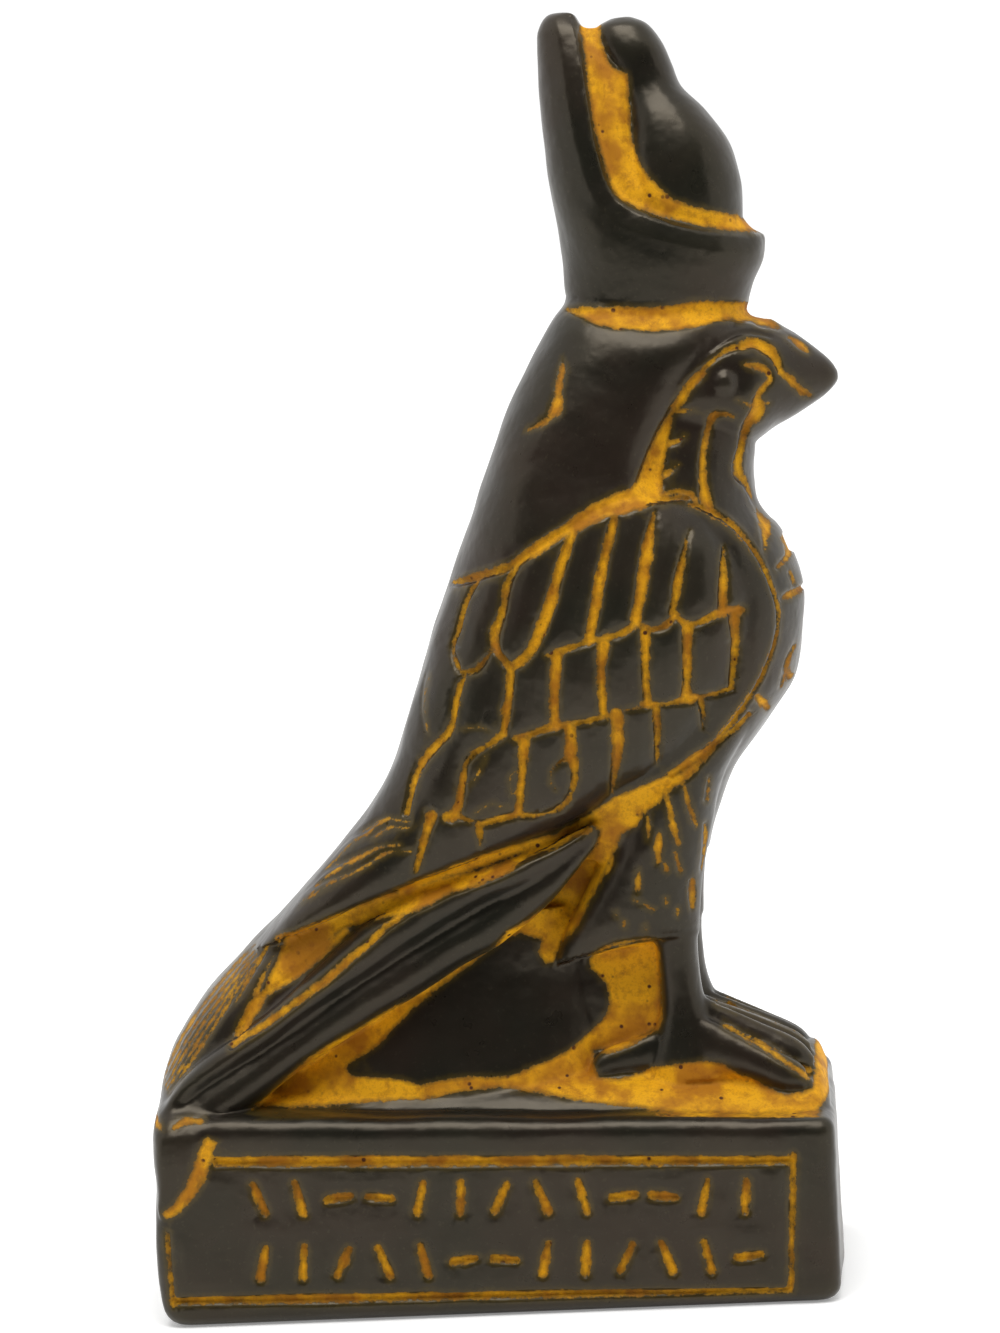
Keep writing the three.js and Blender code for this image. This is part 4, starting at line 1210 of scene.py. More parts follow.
@dataclass
class Feet:
    """The thighs, legs and toes, the mound that they stand on, and the wall behind them."""

    wall_half_width: float = 8.4
    wall_batter: float = 0.5
    toe_sole: float = 26.5
    # share of a toe's length, how thick it is there, and how far its top droops
    toe_sections: tuple[tuple[float, float, float], ...] = (
        (0.0, 0.9, 0.0), (0.5, 1.0, 0.0), (0.88, 0.95, 0.1), (1.0, 0.4, 0.8),
    )
    far_toes_lower: float = 1.8

    def skins(self) -> list[Skin]:
        """Build the mound, the wall and both feet."""
        mound = [
            (-38, 20, -38, 27.0, 13.0),
            (-30, 20, -30, 29.2, 14.5),
            (-18, 19, -18, 30.4, 15.0),
            (0, 18.5, 0, 30.4, 15.0),
            (16, 18, 16, 29.6, 15.5),
            (30, 18, 30, 28.4, 15.5),
            (37, 18, 37, 28.4, 14.8),
            (40, 18, 40, 28.6, 14.0),
            (41.3, 18, 41.3, 26.0, 12.6),
        ]
        bank = [
            (-38, 20, 19, 20, 14.8),
            (-37, 25, 18, 25, 14.1),
            (-34, 29, 17, 29, 12.9),
            (-30, 33, 16, 33, 11.7),
            (-25, 37, 15, 37, 10.7),
            (-19, 41, 14, 41, 9.9),
            (-12, 45, 13, 45, 9.3),
            (-6, 49, 12, 49, 8.8),
        ]
        thigh = [
            (21.5, 71, 34.0, 70.5, 5.0, 7.6),
            (19.0, 64.0, 30.4, 65.0, 6.0, 7.6),
            (16.0, 57.6, 28.4, 58.4, 6.2, 7.4),
            (12.6, 51.6, 27.1, 52.6, 6.0, 7.2),
            (9.2, 45.6, 26.5, 47.8, 5.6, 7.2, 0.6),
            (7.9, 41.8, 26.3, 44.8, 4.8, 7.2, 1.3),
        ]
        leg = [
            (20.6, 47, 26.2, 47, 3.2, 7.2),
            (20.8, 41, 26.0, 41, 3.0, 7.2),
            (20.8, 36, 26.6, 36.2, 3.2, 7.4),
            (18.0, 27, 31.0, 27, 4.6, 7.6),
        ]
        outline = [
            (-34.0, 22.0), (-24.0, 31.0), (-8.0, 42.0), (2.0, 52.0), (8.0, 62.0), (24.0, 66.0),
            (24.0, 22.0),
        ]
        middle = [
            Body(mound, boxiness=1.7, rows=90, columns=64).skin(),
            Body(bank, boxiness=2.3, rows=70, columns=90).skin(),
            Wall(outline, self.wall_half_width, batter=self.wall_batter).skin(),
        ]
        legs = [Body(thigh, rows=80, columns=64).skin(), Body(leg, rows=80, columns=48).skin()]
        toes = [
            self._toe((26.2, 36.8, 5.8), (39.6, 30.8, 4.2), 1.9),
            self._toe((26.6, 36.6, 7.6), (39.8, 29.9, 8.0), 1.9),
            self._toe((25.6, 35.0, 9.4), (39.4, 28.0, 11.8), 2.0),
            self._toe((22.5, 33.6, 8.2), (12.0, 30.6, 9.4), 1.7),
        ]
        near_side = [skin.mirrored() for skin in legs + toes]
        return middle + legs + near_side + [toe.lowered(self.far_toes_lower) for toe in toes]

    def _toe(self, root: Station, tip: Station, radius: float) -> Skin:
        """Build a toe.

        Args:
            root: x, z and distance aside of its root.
            tip: x, z and distance aside of its tip.
            radius: its half thickness.

        Returns:
            The toe's skin.
        """
        ribs = []
        for share, swelling, droop in self.toe_sections:
            x, z, aside = (a + share * (b - a) for a, b in zip(root, tip, strict=True))
            thick = radius * swelling
            top = z - droop * radius
            ribs.append((x - thick, min(top - 2.0 * thick, self.toe_sole), x, top, thick, aside))
        return Body(ribs, rows=50, columns=32).skin()

    def grooves(self) -> list[Groove]:
        """Return the flecks on the thigh, the lines on the toes, and those above and under the thigh."""
        flecks = [
            [(23.2, 64.0, 0.5), (23.8, 60.5, 0.9), (24.0, 59.0, 0.9), (24.5, 57.0, 0.5)],
            [(25.5, 64.5, 0.4), (26.2, 61.0, 0.7), (26.8, 59.0, 0.4)],
            [(28.6, 65.0, 0.3), (28.2, 62.0, 0.5)],
            [(22.2, 58.5, 0.6), (22.0, 56.8, 1.1), (21.8, 55.0, 0.7)],
            [(22.6, 54.6, 0.6), (22.8, 53.9, 0.6)],
            [(24.0, 56.0, 0.4), (24.5, 53.5, 0.6)],
            [(19.4, 54.0, 0.4), (19.2, 52.6, 0.8), (19.0, 51.2, 0.5)],
            [(16.2, 55.5, 0.5), (15.8, 54.5, 0.8), (15.2, 53.5, 0.5)],
            [(22.5, 50.3, 0.4), (22.5, 49.6, 0.4)],
            [(23.8, 48.6, 0.4), (23.7, 47.9, 0.4)],
            [(19.8, 47.1, 0.4), (19.7, 46.4, 0.4)],
            [(17.2, 47.6, 0.4), (17.2, 46.9, 0.4)],
            [(16.2, 48.8, 0.4), (16.3, 48.2, 0.4)],
            [(25.8, 52.0, 0.6), (25.7, 50.2, 1.0), (25.6, 48.5, 0.6)],
            [(27.8, 59.0, 0.5), (27.5, 56.0, 0.6), (27.0, 53.0, 0.5)],
            [(18.6, 50.4, 0.3), (21.0, 48.9, 0.4)],
            [(20.6, 62.0, 0.3), (20.9, 59.6, 0.5), (20.7, 57.8, 0.3)],
        ]
        ridges = [
            [
                (27.5, 37.0, 0.4), (34.0, 34.8, 0.6), (38.0, 32.8, 0.6), (39.5, 31.0, 0.6),
                (39.9, 29.0, 0.8),
            ],
            [(28.0, 35.9, 0.4), (34.0, 33.4, 0.6), (38.0, 31.2, 0.6), (39.2, 30.0, 0.4)],
            [(28.8, 33.3, 0.4), (34.0, 30.4, 0.6), (39.0, 27.0, 0.8)],
        ]
        belly = [
            (34.0, 72.5, 0.6), (32.0, 70.8, 0.8), (30.0, 69.5, 0.9), (28.0, 67.5, 0.9),
            (26.0, 65.8, 1.1), (23.6, 64.6, 1.8),
        ]
        hem = [
            (12.4, 42.6, 0.6), (14.8, 44.3, 0.8), (17.0, 44.9, 0.8), (20.0, 45.0, 0.7),
            (21.4, 44.6, 0.5),
        ]
        garter = [(19.6, 45.8, 0.3), (23.0, 45.5, 0.4), (26.4, 45.4, 0.3)]
        made = [Groove(stations, 0.35, shoulder=0.08) for stations in flecks]
        made += [Groove(stations, 0.3, Place.ROUND) for stations in ridges]
        made += [Groove(belly, 0.5), Groove(hem, 0.3, painted=-0.15)]
        made.append(Groove(garter, 0.25, painted=None))
        return made

    def fields(self) -> list[Field]:
        """Return the ochre behind the thigh, along the wall, round the leg and over the mound."""
        behind_thigh = [
            (23.5, 64.2), (22.5, 62.2), (20.5, 61.2), (19.5, 59.5), (17.5, 58.5), (16.0, 55.0),
            (14.0, 51.5), (13.0, 50.0), (11.5, 47.0), (9.0, 44.5), (7.8, 42.0), (6.8, 42.0),
            (6.0, 43.5), (6.5, 45.0), (5.0, 45.5), (4.0, 46.0), (0.8, 45.1), (1.7, 46.2), (2.6, 47.4),
            (4.9, 48.5), (7.6, 50.1), (10.4, 52.8), (14.0, 56.9), (14.8, 59.0), (13.4, 60.2),
            (14.0, 61.6), (17.0, 63.4), (20.0, 64.6), (23.6, 66.0), (25.4, 66.0),
        ]
        along_wall = [
            (0.8, 45.1), (-0.5, 44.4), (-2.8, 43.3), (-5.1, 41.9), (-7.4, 40.5), (-9.6, 39.4),
            (-11.5, 38.7), (-14.2, 37.4), (-16.9, 36.0), (-20.5, 34.2), (-23.3, 32.4), (-25.5, 30.5),
            (-27.8, 28.7), (-29.6, 27.4), (-30.5, 26.5), (-23.3, 26.2), (-14.2, 26.5), (-8.3, 26.5),
            (-5.1, 27.1), (0.4, 27.4), (5.8, 26.5), (9.0, 25.8), (13.0, 25.2), (17.0, 24.7),
            (22.0, 23.9), (30.0, 23.3), (39.6, 23.0), (41.6, 24.5), (41.5, 29.9), (39.9, 29.9),
            (39.6, 27.0), (39.2, 25.6), (36.0, 25.1), (34.0, 25.8), (32.0, 27.0), (31.0, 27.2),
            (30.0, 27.8), (28.5, 29.0), (25.5, 29.5), (22.5, 29.2), (20.0, 28.8), (18.0, 28.0),
            (15.5, 27.5), (13.0, 27.8), (12.2, 29.5), (12.2, 30.5), (15.0, 30.6), (17.5, 31.5),
            (20.5, 33.0), (21.2, 34.5), (21.0, 37.0), (21.2, 40.0), (21.2, 43.5), (20.0, 44.6),
            (17.0, 44.4), (14.8, 43.9), (13.0, 42.9), (12.2, 41.8), (12.2, 40.8), (13.5, 39.5),
            (14.2, 38.5), (14.5, 36.5), (14.0, 35.0), (12.5, 33.5), (10.5, 32.0), (8.5, 30.8),
            (6.0, 30.0), (4.0, 29.5), (3.1, 29.0), (0.4, 28.7), (-3.3, 29.0), (-6.9, 28.7),
            (-9.2, 28.3), (-11.5, 29.0), (-14.2, 29.4), (-17.8, 29.6), (-18.7, 30.3), (-18.3, 31.0),
            (-16.5, 31.9), (-14.2, 33.3), (-12.4, 35.1), (-10.5, 36.9), (-8.7, 38.3), (-6.0, 40.1),
            (-3.3, 41.9), (-0.5, 43.7), (1.3, 44.8),
        ]
        return [
            Field(behind_thigh, smooth=False, depth=0.15),
            Field(along_wall, smooth=False, depth=0.1),
        ]


SubAssembly = Plinth | Wings | Breast | Head | Crown | Tail | Feet
Polished = Head | Crown | Tail


@dataclass
class Shape:
    """A mesh as arrays: points and their normals in millimetres, and the edges between them."""

    points: np.ndarray
    normals: np.ndarray
    edges: np.ndarray

    @classmethod
    def of(cls, mesh: bpy.types.Mesh) -> "Shape":
        """Read a mesh.

        Args:
            mesh: the mesh, in millimetres.

        Returns:
            Its shape.
        """
        points = np.zeros(len(mesh.vertices) * 3, np.float32)
        normals = np.zeros(len(mesh.vertices) * 3, np.float32)
        edges = np.zeros(len(mesh.edges) * 2, np.int32)
        mesh.vertices.foreach_get("co", points)
        mesh.vertex_normals.foreach_get("vector", normals)
        mesh.edges.foreach_get("vertices", edges)
        return cls(
            points.reshape(-1, 3).astype(float),
            normals.reshape(-1, 3).astype(float),
            edges.reshape(-1, 2),
        )

    def average(self, values: np.ndarray) -> np.ndarray:
        """Average each point's neighbours.

        Args:
            values: one row for each point.

        Returns:
            The mean over the points that share an edge with it.
        """
        count = len(self.points)
        ends = np.concatenate([self.edges[:, 0], self.edges[:, 1]])
        others = np.concatenate([self.edges[:, 1], self.edges[:, 0]])
        number = np.maximum(np.bincount(ends, minlength=count), 1)
        rows = values.reshape(count, -1)
        sums = [np.bincount(ends, rows[others, k], count) / number for k in range(rows.shape[1])]
        return np.stack(sums, axis=1).reshape(values.shape)

    def smoothed(self, rounds: int, keep: bool) -> np.ndarray:
        """Relax the points.

        Args:
            rounds: how many times.
            keep: whether each round gives back what it shrank.

        Returns:
            The relaxed points.
        """
        points = self.points.copy()
        for _ in range(rounds):
            points += 0.5 * (self.average(points) - points)
            if keep:
                points -= 0.53 * (self.average(points) - points)
        return points


@dataclass
class Relief:
    """What the carving does at each point of a skin, in millimetres."""

    cut: np.ndarray
    rise: np.ndarray
    valley: np.ndarray
    reach: np.ndarray

    @classmethod
    def flat(cls, count: int) -> "Relief":
        """Start with a bare skin of so many points."""
        return cls(np.zeros(count), np.zeros(count), np.zeros(count), np.full(count, FAR_OUTSIDE))

    def height(self) -> np.ndarray:
        """Return how far the carving moves each point outwards."""
        return self.rise - self.cut - self.valley


@dataclass
class Casting:
    """The whole figure, cast in one piece: it joins the sub-assemblies, and carves and paints them."""

    plinth: Plinth
    crown: Crown
    parts: list[SubAssembly]
    voxel: float = 0.36
    smoothing: int = 4  # rounds over the whole skin
    softening: int = 20  # rounds along the polished lines
    soft_step: float = 1.0
    most_triangles: int = 192_000
    margin: float = 3.4  # how far beyond its line a groove or field is worked out
    softest_half: float = 0.45  # half width from which a channel is cut to its full depth
    channel: tuple[float, float] = (0.35, 1.2)  # its floor and its edge, in shares of its half width
    shoulder_width: float = 2.0
    block_side: tuple[float, float] = (18.2, 19.0)  # distance aside where the plinth's side begins
    block_top: tuple[float, float] = (24.0, 26.0)  # height where it ends
    flank_turn: tuple[float, float] = (0.1, 0.4)  # how far the skin faces aside on a flank
    side_turn: tuple[float, float] = (0.4, 0.7)  # and on the plinth's side
    lumps: tuple[tuple[float, float], ...] = (  # wavelength and height
        (26.0, 0.10), (15.0, 0.07), (8.0, 0.035), (4.5, 0.018),
    )
    waves_each: int = 5
    flat_foot: tuple[float, float] = (0.6, 3.0)  # height over which the lumps set in
    hollow_rounds: int = 10
    hollow_scale: float = 0.16
    hollow_limit: float = 2.0
    seed: int = 11

    def build(self) -> bpy.types.Object:
        """Build the casting in metres, with its carving, and mark where the ochre lies."""
        mesh = self._joined()
        shape = Shape.of(mesh)
        LOG.info("joined skin: %d points", len(shape.points))
        shape.points = shape.smoothed(self.smoothing, keep=True)
        shape.points = self._softened(shape)
        mesh.vertices.foreach_set("co", shape.points.astype(np.float32).ravel())
        mesh.update()
        shape = Shape.of(mesh)
        height = self._carving(shape).height() + self._lumps(shape.points)
        carved = shape.points + shape.normals * height[:, None]
        mesh.vertices.foreach_set("co", carved.astype(np.float32).ravel())
        mesh.update()
        mesh = self._thinned(mesh)
        shape = Shape.of(mesh)
        self._mark(mesh, shape, self._carving(shape).reach)
        self._place(mesh, shape.points)
        mesh.polygons.foreach_set("use_smooth", np.ones(len(mesh.polygons), bool))
        casting = bpy.data.objects.new("falcon_casting", mesh)
        bpy.context.scene.collection.objects.link(casting)
        return casting

    def _joined(self) -> bpy.types.Mesh:
        """Join all skins and wrap them in one even skin, as a casting has."""
        shell = self.crown.shell().to_object("outer_crown")
        opening = self.crown.opening().to_object("crown_opening")
        cut = shell.modifiers.new("opening", "BOOLEAN")
        cut.operation = "DIFFERENCE"
        cut.object = opening
        cut.solver = "EXACT"
        skins = [self._read(self._applied(shell))]
        for part in self.parts:
            own = part.skins()
            skins += own
            LOG.info(
                "%s: %d skins, %d grooves, %d fields",
                type(part).__name__.lower(),
                len(own),
                len(part.grooves()),
                len(part.fields()),
            )
        points, faces, base = [], [], 0
        for skin in skins:
            points.append(skin.points)
            faces += [tuple(base + i for i in face) for face in skin.faces]
            base += len(skin.points)
        whole = Skin(np.vstack(points), faces).to_object("whole")
        wrap = whole.modifiers.new("wrap", "REMESH")
        wrap.mode = "VOXEL"
        wrap.voxel_size = self.voxel
        mesh = self._applied(whole)
        for made in (shell, opening, whole):
            bpy.data.objects.remove(made)
        return mesh

    def _softened(self, shape: Shape) -> np.ndarray:
        """Round the skin off along the lines where polish has worn it.

        Args:
            shape: the skin.

        Returns:
            Its points, rounded there.
        """
        share = np.zeros(len(shape.points))
        lines = [line for part in self.parts if isinstance(part, Polished) for line in part.softened()]
        for line in lines:
            stations = along_line(np.array(line, float), self.soft_step)
            gap, half = distance_to_line(shape.points[:, [0, 2]], stations)
            away = gap / (2.0 * np.maximum(half, LEAST_HALF))
            share = np.maximum(share, 1.0 - smooth_step(0.5, 1.0, away))
        points = shape.points
        for _ in range(self.softening):
            points = points + 0.5 * share[:, None] * (shape.average(points) - points)
        return points

    def _thinned(self, mesh: bpy.types.Mesh) -> bpy.types.Mesh:
        """Take triangles out where the skin is flat.

        Args:
            mesh: the carved mesh.

        Returns:
            A mesh of no more than the wanted number of triangles.
        """
        holder = bpy.data.objects.new("thinning", mesh)
        bpy.context.scene.collection.objects.link(holder)
        triangles = sum(len(polygon.vertices) - 2 for polygon in mesh.polygons)
        thin = holder.modifiers.new("thin", "DECIMATE")
        thin.ratio = min(1.0, self.most_triangles / triangles)
        thinned = self._applied(holder)
        bpy.data.objects.remove(holder)
        LOG.info("thinned from %d to %d faces", triangles, len(thinned.polygons))
        return thinned

    def _applied(self, made: bpy.types.Object) -> bpy.types.Mesh:
        """Apply an object's modifiers.

        Args:
            made: the object.

        Returns:
            The new mesh that they give.
        """
        bpy.context.view_layer.update()
        graph = bpy.context.evaluated_depsgraph_get()
        return bpy.data.meshes.new_from_object(made.evaluated_get(graph))

    def _read(self, mesh: bpy.types.Mesh) -> Skin:
        """Return a mesh as a skin."""
        points = np.array([vertex.co[:] for vertex in mesh.vertices])
        return Skin(points, [tuple(polygon.vertices) for polygon in mesh.polygons])

    def _lumps(self, points: np.ndarray) -> np.ndarray:
        """Work out the slow unevenness of a hand-finished model.

        Args:
            points: the points, in millimetres.

        Returns:
            How far each point stands out.
        """
        chance = np.random.default_rng(self.seed + 1)
        lumps = np.zeros(len(points))
        for wave, height in self.lumps:
            for _ in range(self.waves_each):
                way = chance.normal(size=3)
                way *= 2.0 * math.pi / (wave * np.linalg.norm(way))
                lumps += height * np.sin(points @ way + chance.uniform(0.0, 2.0 * math.pi)) / 2.0
        return lumps * smooth_step(*self.flat_foot, points[:, 2])

    def _carving(self, shape: Shape) -> Relief:
        """Lay all grooves and fields on the skin.

        Args:
            shape: the skin.

        Returns:
            What they do at each of its points.
        """
        chance = np.random.default_rng(self.seed)
        relief = Relief.flat(len(shape.points))
        spots = shape.points[:, [0, 2]]
        faces = {place: self._facing(shape, place) for place in Place}
        for part in self.parts:
            for groove in part.grooves():
                line = groove.line(chance)
                facing = faces[groove.place]
                near = np.flatnonzero(self._near(spots, line[:, :2]) & (facing > 0.0))
                gap = distance_to_line(spots[near], line)
                self._lay_groove(relief, groove, near, gap, facing[near])
            for area in part.fields():
                facing = faces[area.place]
                outline = np.array(area.outline, float)
                near = np.flatnonzero(self._near(spots, outline) & (facing > 0.0))
                self._lay_field(relief, area, near, area.reach(spots[near]), facing[near])
        return relief

    def _lay_groove(
        self,
        relief: Relief,
        groove: Groove,
        near: np.ndarray,
        line: tuple[np.ndarray, np.ndarray],
        facing: np.ndarray,
    ) -> None:
        """Add a groove to the relief.

        Args:
            relief: the relief.
            groove: the groove.
            near: which points it may touch.
            line: for each of them the distance from the groove's line, and half its width there.
            facing: how much of the groove each of them takes.
        """
        gap, half = line
        across = 1.0 - smooth_step(*self.channel, gap / np.maximum(half, LEAST_HALF))
        profile = np.minimum(1.0, half / self.softest_half) * across
        relief.cut[near] = np.maximum(relief.cut[near], groove.depth * profile * facing)
        shoulder = groove.shoulder * (1.0 - smooth_step(0.0, self.shoulder_width, gap - half)) * facing
        relief.valley[near] = np.maximum(relief.valley[near], shoulder)
        if groove.painted is not None:
            inside = half + groove.painted - gap - 2.0 * (1.0 - facing)
            relief.reach[near] = np.maximum(relief.reach[near], inside)

    def _lay_field(
        self,
        relief: Relief,
        area: Field,
        near: np.ndarray,
        inside: np.ndarray,
        facing: np.ndarray,
    ) -> None:
        """Add a field to the relief.

        Args:
            relief: the relief.
            area: the field.
            near: which points it may touch.
            inside: how far inside its outline each of them lies.
            facing: how much of the field each of them takes.
        """
        profile = abs(area.depth) * smooth_step(-0.6 * area.edge, area.edge, inside) * facing
        layer = relief.cut if area.depth > 0.0 else relief.rise
        layer[near] = np.maximum(layer[near], profile)
        if area.painted:
            relief.reach[near] = np.maximum(relief.reach[near], inside - 2.0 * (1.0 - facing))

    def _near(self, spots: np.ndarray, line: np.ndarray) -> np.ndarray:
        """Return which spots lie in a line's own oblong or within the margin round it."""
        low, high = line.min(axis=0) - self.margin, line.max(axis=0) + self.margin
        return np.all((spots > low) & (spots < high), axis=1)

    def _facing(self, shape: Shape, place: Place) -> np.ndarray:
        """Work out how well the skin faces the way that a place asks for.

        Args:
            shape: the skin.
            place: the place.

        Returns:
            1 where a groove there is cut in full, 0 where there is none.
        """
        _, y, z = shape.points.T
        outwards = shape.normals[:, 1] * np.sign(y)
        on_plinth = smooth_step(*self.block_side, np.abs(y)) * (1.0 - smooth_step(*self.block_top, z))
        if place is Place.ROUND:
            return 1.0 - on_plinth
        if place in (Place.FLANKS, Place.RIGHT):
            flank = smooth_step(*self.flank_turn, outwards) * (1.0 - on_plinth)
            return flank if place is Place.FLANKS else flank * (y < 0.0)
        side = on_plinth * smooth_step(*self.side_turn, outwards)
        return side if place is Place.PLINTH_SIDES else side * (y < 0.0)

    def _mark(self, mesh: bpy.types.Mesh, shape: Shape, reach: np.ndarray) -> None:
        """Keep on the mesh where the ochre lies and how hollow the skin is.

        Args:
            mesh: the thinned mesh.
            shape: its shape.
            reach: how far inside the ochre each point lies, in millimetres.
        """
        relaxed = shape.smoothed(self.hollow_rounds, keep=False)
        hollow = np.einsum("ij,ij->i", relaxed - shape.points, shape.normals) / self.hollow_scale
        hollow = np.clip(shape.average(hollow), -self.hollow_limit, self.hollow_limit)
        reach = np.clip(reach, FAR_OUTSIDE, WELL_INSIDE)
        for name, values in (("ochre_reach", reach), ("hollow", hollow)):
            kept = mesh.attributes.new(name, "FLOAT", "POINT")
            kept.data.foreach_set("value", values.astype(np.float32))

    def _place(self, mesh: bpy.types.Mesh, points: np.ndarray) -> None:
        """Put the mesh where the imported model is, in metres, and keep it inside that model's box.

        Args:
            mesh: the mesh to move.
            points: its points on the sketch, in millimetres.
        """
        low, high = (np.array(corner) for corner in CAD_BOX)
        moved = points * (high - low)[2] / (SKETCH_HEIGHT - self.plinth.drop)
        moved[:, 2] += low[2] - moved[:, 2].min()
        below = np.where(low < 0.0, low, -np.inf)
        beyond = np.maximum(moved.max(axis=0) / high, moved.min(axis=0) / below)
        moved /= np.maximum(1.0, beyond)
        mesh.vertices.foreach_set("co", moved.astype(np.float32).ravel())
        mesh.update()


def linear(colour: str) -> tuple[float, float, float, float]:
    """Turn an sRGB colour to the linear one that shaders take.

    Args:
        colour: six hex digits after a hash.

    Returns:
        Red, green, blue and full opacity.
    """
    parts = [int(colour[i : i + 2], 16) / 255.0 for i in (1, 3, 5)]
    red, green, blue = (c / 12.92 if c <= 0.04045 else ((c + 0.055) / 1.055) ** 2.4 for c in parts)
    return red, green, blue, 1.0


def add_node(
    tree: bpy.types.NodeTree,
    kind: str,
    inputs: dict[int | str, Input] | None = None,
    **settings: object,
) -> Node:
    """Add a node.

    Args:
        tree: the tree that it goes into.
        kind: the node's type.
        inputs: for a socket's name or number its value, a hex colour, or what links to it.
        settings: values for the node's own properties.

    Returns:
        The node.
    """
    node = tree.nodes.new(kind)
    for name, value in settings.items():
        setattr(node, name, value)
    for key, value in (inputs or {}).items():
        named = [s for s in node.inputs if s.enabled and s.name == key]
        socket = named[0] if named else node.inputs[key]
        if isinstance(value, Node):
            value = next(output for output in value.outputs if output.enabled)
        if isinstance(value, Socket):
            tree.links.new(value, socket)
        else:
            socket.default_value = linear(value) if isinstance(value, str) else value
    return node


def per_metre(size: float) -> float:
    """Turn the size of a pattern's features, in millimetres, into a texture's scale."""
    return 1.0 / (size * MILLIMETRE)


@dataclass(frozen=True)
class CastStone:
    """Stone powder bound with resin, cast in a mould, stained black and waxed.

    The wax gives a satin gloss that turns pale where the skin is seen aslant, over a warm,
    slightly clouded black whose convex edges are paler: partly wear, partly a painted highlight.
    """

    black: str = "#171712"
    brown: str = "#241c17"
    # grey-brown of rubbed edges and dust specks; on convex edges it is also a painted highlight
    wear_and_highlight: str = "#3a362a"
    sheen: str = "#ffefd6"
    roughness: float = 0.3
    roughness_spread: float = 0.16
    gloss_patch: float = 3.0
    ior: float = 1.43
    cloud: float = 18.0
    speck: float = 0.5
    unevenness: float = 2.2


@dataclass(frozen=True)
class OchrePaint:
    """Ochre earth in a thin binder, rubbed into the carving and wiped off the high places.

    It dries matt and powdery. Its rim is thin and dark, and brown pits show where bubbles broke.
    The grains of the pigment are far finer than a pixel, so the grain is drawn ten times as coarse.
    """

    bright: str = "#dfa004"
    deep: str = "#a96c05"
    rim: str = "#5f4511"
    clod: str = "#8a4f06"
    pit: str = "#4a2206"
    smear: str = "#4a3d17"
    roughness: float = 0.72
    ragged: float = 1.1
    wander: float = 0.7
    fray: float = 0.4
    grain: float = 0.32
    clump: float = 1.6
    patch: float = 5.0
    pit_spacing: float = 1.5
    pit_patch: float = 4.0


